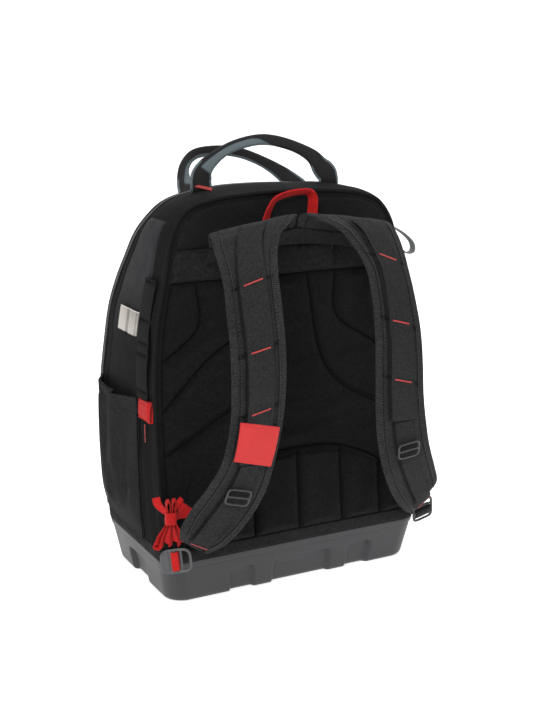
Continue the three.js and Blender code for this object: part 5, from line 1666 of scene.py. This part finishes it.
# The carry handles
# Black webbing folded round a cord to a grip, open at its roots, where a grey-blue lining
# shows along the inner side. The front handle leans away from the wearer's side.
handle_lines = {
    "rear": (-0.22, 0.004, 0.5445, 0.056, [
        (-0.51, 0), (-0.51, 0.12), (-0.485, 0.36), (-0.4, 0.63), (-0.285, 0.85), (-0.1, 1),
        (0.025, 0.985),
        (0.21, 0.8), (0.34, 0.55), (0.4, 0.3), (0.45, 0.12), (0.46, 0)]),
    "front": (0.5, 0.058, 0.5105, 0.067, [
        (-0.38, 0), (-0.385, 0.12), (-0.395, 0.4), (-0.36, 0.7), (-0.26, 0.93), (-0.1, 1),
        (0.09, 0.95),
        (0.26, 0.75), (0.39, 0.48), (0.46, 0.25), (0.49, 0.1), (0.49, 0)]),
}
handle_cloth = Finish("handle_cloth", {"Sheen Weight": 0.03, "Specular IOR Level": 0.2})
u, v = handle_cloth.cloth_uv()
weave = (u * (math.pi / 0.0012)).maths("SINE") * (v * (math.pi / 0.0008)).maths("SINE")
fuzz = handle_cloth.noise(600.0, 3.0)
lining = handle_cloth.add("Attribute", {"attribute_name": "lining"}, {}, out=2)
tone = 0.5 + weave * 0.3 + (fuzz - 0.5) * 1.2
handle_cloth.wear("Base Color", handle_cloth.blend(
    lining, handle_cloth.blend(tone, (0.004, 0.004, 0.0042), (0.020, 0.020, 0.021)),
    handle_cloth.blend(tone, (0.085, 0.110, 0.122), (0.155, 0.190, 0.205))))
handle_cloth.wear("Roughness", 0.7 + (fuzz - 0.5) * 0.2)
handle_cloth.bump(weave * 0.5 + fuzz * 0.6, 0.0006)
for name, (y, lean, foot, rise, rows) in handle_lines.items():
    rows = np.array(rows)
    knots = np.stack(
        [rows[:, 0] * half_width, y * half_depth + lean * rows[:, 1], foot + 0.004
         + rise * rows[:, 1]],
        -1
    )
    share = np.linspace(0, 1, 220)
    line = curve_through(knots, share)
    ahead = unit(np.gradient(line, axis=0))
    up = (line[:, 2] - foot - 0.004) / rise
    folded = step(up, 0.22, 0.85)
    outward_side = unit(np.stack([-ahead[:, 2], 0 * up, ahead[:, 0]], -1))
    rooted = step(up, 0.0, 0.1)[:, None]
    outward_side = unit(
        mix(np.tile([1.0, 0, 0], (220, 1)) * np.sign(outward_side[:, :1]), outward_side, rooted)
    )
    facing = unit(np.cross(ahead, outward_side))
    facing = facing * np.sign(-facing[:, 1:2])
    line = np.concatenate([line[:1] - (0, 0, 0.009), line, line[-1:] - (0, 0, 0.009)])
    outward_side, facing, folded = (
        np.concatenate([a[:1], a, a[-1:]]) for a in (outward_side, facing, folded))
    turn = np.linspace(0, math.tau, 40, endpoint=False)
    flat = squared_off(np.cos(turn), 0.85)
    tall = squared_off(np.sin(turn), 0.6)
    width, thick = mix(0.031, 0.0148, folded ** 0.6)[:, None], mix(0.0024, 0.0072, folded)[:, None]
    seam_dent = (
        np.exp(-((turn - math.radians(150)) / 0.25) ** 2)[None, :] * folded[:, None] * 0.0012
    )
    points = (
        line[:, None] + outward_side[:, None] * (flat * width / 2)[..., None]
        + facing[:, None] * (tall * thick / 2 - seam_dent)[..., None]
    )
    loop = np.concatenate([turn, turn[:1] + math.tau]) * 0.006
    uv = np.stack([loop + 0 * width, lengths(line[:, None], 0)[:, None] + 0 * loop], -1)
    piece = surface(f"handle_{name}_grip", points, uv, wrap_columns=True, caps=True)
    along_share = np.linspace(0, 1, 222)[:, None]
    centre = np.radians(
        mix(128, 235, step(along_share, 0.42, 0.62)) if name == "rear" else 132 + 90 * along_share
    )
    away = np.abs((turn - centre + math.pi) % math.tau - math.pi)
    stripe = (
        step(away, 1.12, 1.02) * step(folded[:, None], 0.10, 0.2) * step(along_share, 0.92, 0.88)
    )
    hems = (np.abs(flat)[None, :] > 0.80) * step(folded[:, None], 0.35, 0.2)
    mark(piece, "lining", np.maximum(stripe, hems))
    dress(piece, handle_cloth, "webbing", f"handle_{name}", fill=0.9)


# Trim of the side walls
# Webbing with cross stitches above a folded red tab, a sprung steel clip for a tape
# measure on the left wall, and a soft grey loop on the right one.
side_trim = {"top": 0.765, "low": 0.434, "width": 0.032}
tack_z = np.array([0.429, 0.381, 0.352, 0.3375, 0.290])


def side_strip(low, high, y_low, y_high, width, thick, relief, rows=120, columns=40):
    """Outer and inner face of a strip on the left wall between two heights; relief gives
    its outward offset from shares across and along."""
    v, u = np.meshgrid(np.linspace(0, 1, rows), np.linspace(-1, 1, columns), indexing="ij")
    z = mix(low, high, v)
    y = mix(y_low, y_high, v) + u * width / 2
    raised = relief(u, z)
    share = side_share(z)
    return side_wall(share, y, 0.0006 + thick + raised), side_wall(share, y, 0.0003 + 0 * raised)


def webbing_relief(u, z):
    held = np.abs(z[..., None] - tack_z).min(-1)
    return 0.0028 * (1 - np.exp(-held / 0.005)) * (1 - 0.4 * u ** 2) - 0.0006 * (np.abs(u) > 0.97)


outer, inner = side_strip(
    up_to(side_trim["low"]) + 0.0006, up_to(side_trim["top"]), -0.58 * half_depth,
    -0.45 * half_depth,
    side_trim["width"], 0.0014, webbing_relief)
tab_outer, tab_inner = side_strip(
    up_to(side_trim["low"]) - 0.027, up_to(side_trim["low"]), -0.648 * half_depth,
    -0.648 * half_depth, 0.0360, 0.0022,
    lambda u,
    z: 0.0036 * np.sqrt(np.clip(1 - u ** 2, 0, 1)) * step(z, up_to(0.380), up_to(0.39))
    + 0.0022 * step(u, 0.0, -1.0)
    - 0.0010 * groove(z, up_to(0.428), 0.002))
side_webbing = woven(
    "side_webbing", (0.0045, 0.0045, 0.0048), (0.020, 0.020, 0.0212), 0.0014, 0.0006, rough=0.8,
    along=0.6, seam_shade=True
)
strip_z = np.linspace(up_to(side_trim["low"]) + 0.0006, up_to(side_trim["top"]), 120)
for name, mirror in (("left", (1, 1, 1)), ("right", (-1, 1, 1))):
    strip_piece = walled(f"wall_webbing_{name}", outer * mirror, inner * mirror, cloth_map(outer))
    # Painted shade: darker in the dents at the tack lines and along both edges of the webbing.
    mark(strip_piece, "seam_shade", np.clip(
        groove(np.abs(strip_z[:, None] - tack_z).min(-1), 0, 0.0022)[:, None]
        + groove(np.linspace(-1, 1, outer.shape[1]), 1, 0.05)
        + groove(np.linspace(-1, 1, outer.shape[1]), -1, 0.05),
        0, 1))
    dress(strip_piece,
          side_webbing, "webbing", f"side_webbing_{name}", held="laid", on=("side_wall",),
          cut=(side_trim["width"], 0.169))
    dress(walled(f"red_fold_{name}", tab_outer * mirror, tab_inner * mirror, cloth_map(tab_outer)),
          red_tape, "red_webbing", f"red_tab_{name}", held="folded", on=("side_wall",),
          cut=(0.036, 0.034))

clip = {"middle": -0.045 * half_depth, "low": up_to(0.6), "length": 0.064, "height": 0.031}
clip_folds = np.array([
    (0, 0.0006), (0.03, 0.0026), (0.06, 0.0030), (0.46, 0.0030), (0.50, 0.0026), (0.55, 0.0009),
    (0.60, 0.0028),
    (0.63, 0.0034), (0.93, 0.0034), (0.96, 0.0030), (1, 0.0006),
])
clip_v, clip_u = np.meshgrid(np.linspace(0, 1, 30), np.linspace(0, 1, 120), indexing="ij")
clip_out = np.interp(clip_u, clip_folds[:, 0], clip_folds[:, 1])
clip_y = clip["middle"] + clip["length"] * (0.5 - clip_u)
clip_share = side_share(clip["low"] + clip_v * clip["height"])
clip_outer = side_wall(clip_share, clip_y, clip_out + 0.0012)
clip_inner = side_wall(clip_share, clip_y, clip_out)
steel = Finish("clip_steel", {"Metallic": 1.0})
steel_grain = steel.noise(120.0, 4.0)
steel.wear("Base Color", steel.blend(steel_grain, (0.50, 0.47, 0.43), (0.68, 0.64, 0.58)))
steel.wear("Roughness", 0.34 + (steel_grain - 0.5) * 0.3)
dress(
    walled("steel_clip", clip_outer, clip_inner, cloth_map(clip_outer)), steel, "clip_steel",
    "tape_clip"
)

loop_rows = np.array([
    (0, 0), (0.35, 0.06), (0.75, 0.32), (1, 0.68), (0.97, 0.9), (0.82, 0.96), (0.5, 0.72),
    (0, 0.62),
])
loop_z = up_to(0.865) - loop_rows[:, 1] * 0.050
loop_wall = side_wall(side_share(loop_z), 0 * loop_z - 0.06 * half_depth, 0.0015)
loop_line = curve_through(
    np.stack([-loop_wall[:, 0] + loop_rows[:, 0] * 0.062, loop_wall[:, 1], loop_z], -1),
    np.linspace(0, 1, 120))
loop_out = unit(np.cross(np.gradient(loop_line, axis=0), [0, 1.0, 0]))
loop_grey = woven(
    "loop_grey", (0.12, 0.125, 0.13), (0.30, 0.305, 0.315), 0.0011, 0.0005, rough=0.8, sheen=0.2
)
dress(ribbon("wall_loop", loop_line, np.tile([0.0, 1.0, 0.0], (120, 1)), loop_out, 0.0138, 0.0017),
      loop_grey, "loop_grey", "side_loop", held="folded", on=("side_wall",), cut=(0.0138, 0.172))


# Stitching
# Bartacks of red thread hold the webbing, the loop and the handle; rows of charcoal
# stitches run beside the straps' tapes.
thread_shape, thread_faces = pellet(1.0, 1.0, 1.0, 6)


def tack(start, end, out, length, pitch=0.0009):
    """Threads side by side from start to end, each of a length along the third direction:
    their places and directions."""
    span = end - start
    count = max(int(np.linalg.norm(span) / pitch), 2)
    t = (np.arange(count) + 0.5)[:, None] / count
    beside = unit(span)
    along = np.cross(out, beside)
    size = np.tile([length, np.linalg.norm(span) / count * 0.82, 0.0009], (count, 1))
    return (
        start + span * t, np.tile(along, (count, 1)), np.tile(beside, (count, 1)),
        np.tile(out, (count, 1)), size
    )


def threads(name, runs, finish, slot):
    """One object of all the threads of some tacks or seams."""
    middle, along, beside, out, size = (np.concatenate(column) for column in zip(*runs))
    piece = outward(repeated(
        name, thread_shape, thread_faces, middle, along * size[:, :1], beside * size[:, 1:2],
        out * size[:, 2:]))
    return dress(piece, finish, slot)


red_thread = Finish("red_thread", {"Roughness": 0.6, "Sheen Weight": 0.2})
red_thread.wear(
    "Base Color",
    red_thread.blend(red_thread.noise(500.0), (0.35, 0.016, 0.014), (0.70, 0.06, 0.05))
)
red_tacks = []
for sign in (-1, 1):
    for z in tack_heights[sign]:
        middle, cross, along, out, _ = (a[0] for a in strap_frame(sign, [station_at(sign, z)]))
        slant = math.radians(12 if sign < 0 else 16)
        beside = cross * math.cos(slant) + along * math.sin(slant)
        face = middle + out * (webbing["lift"] + webbing["thick"] + 0.0003)
        red_tacks.append(tack(face - beside * 0.0135, face + beside * 0.0135, out, 0.0020, 0.0015))
    middle, cross, along, out, width = (a[0] for a in strap_frame(sign, [0.965]))
    face = middle + out * (webbing["lift"] + webbing["thick"] - 0.0002)
    red_tacks.append(tack(face - cross * 0.0125, face + cross * 0.0125, out, 0.0012, 0.0024))
root_out = unit(np.array([-0.35, -0.75, 0.55]))
red_tacks.append(
    tack(np.array([-0.114, -0.0235, 0.5495]), np.array([-0.090, -0.0335, 0.5435]), root_out, 0.0044,
         0.0010)
)
wall_tack = side_wall(side_share(np.array([0.248, 0.223])), np.array([-0.0715, -0.0725]), 0.0022)
red_tacks.append(tack(wall_tack[0], wall_tack[1], np.array([-1.0, -0.1, 0]), 0.0016, 0.0022))
threads("red_bartacks", red_tacks, red_thread, "red_webbing")

grey_thread = Finish("grey_thread", {"Roughness": 0.7, "Sheen Weight": 0.2})
grey_thread.wear(
    "Base Color",
    grey_thread.blend(grey_thread.noise(500.0), (0.004, 0.004, 0.0042), (0.013, 0.013, 0.0136))
)
seam_rows = []
for sign in (-1, 1):
    station = np.arange(0.20, 0.985, 0.0062)
    middle, cross, along, out, width = strap_frame(sign, station)
    for edge in (-1, 1):
        place = (
            middle + cross * (edge * (width / 2 - strap["tape"] - 0.0004))[:, None] + out * 0.0054
        )
        size = np.tile([0.0029, 0.0007, 0.0007], (len(station), 1))
        seam_rows.append((place, along, cross, out, size))
threads("strap_stitches", seam_rows, grey_thread, "strap_cloth")


# The closing
# The dressed model's size is measured beside the frame's.
size = {"solids": [list(map(float, side)) for side in solid_bounds], "dressed": [list(map(float, side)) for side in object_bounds()]}
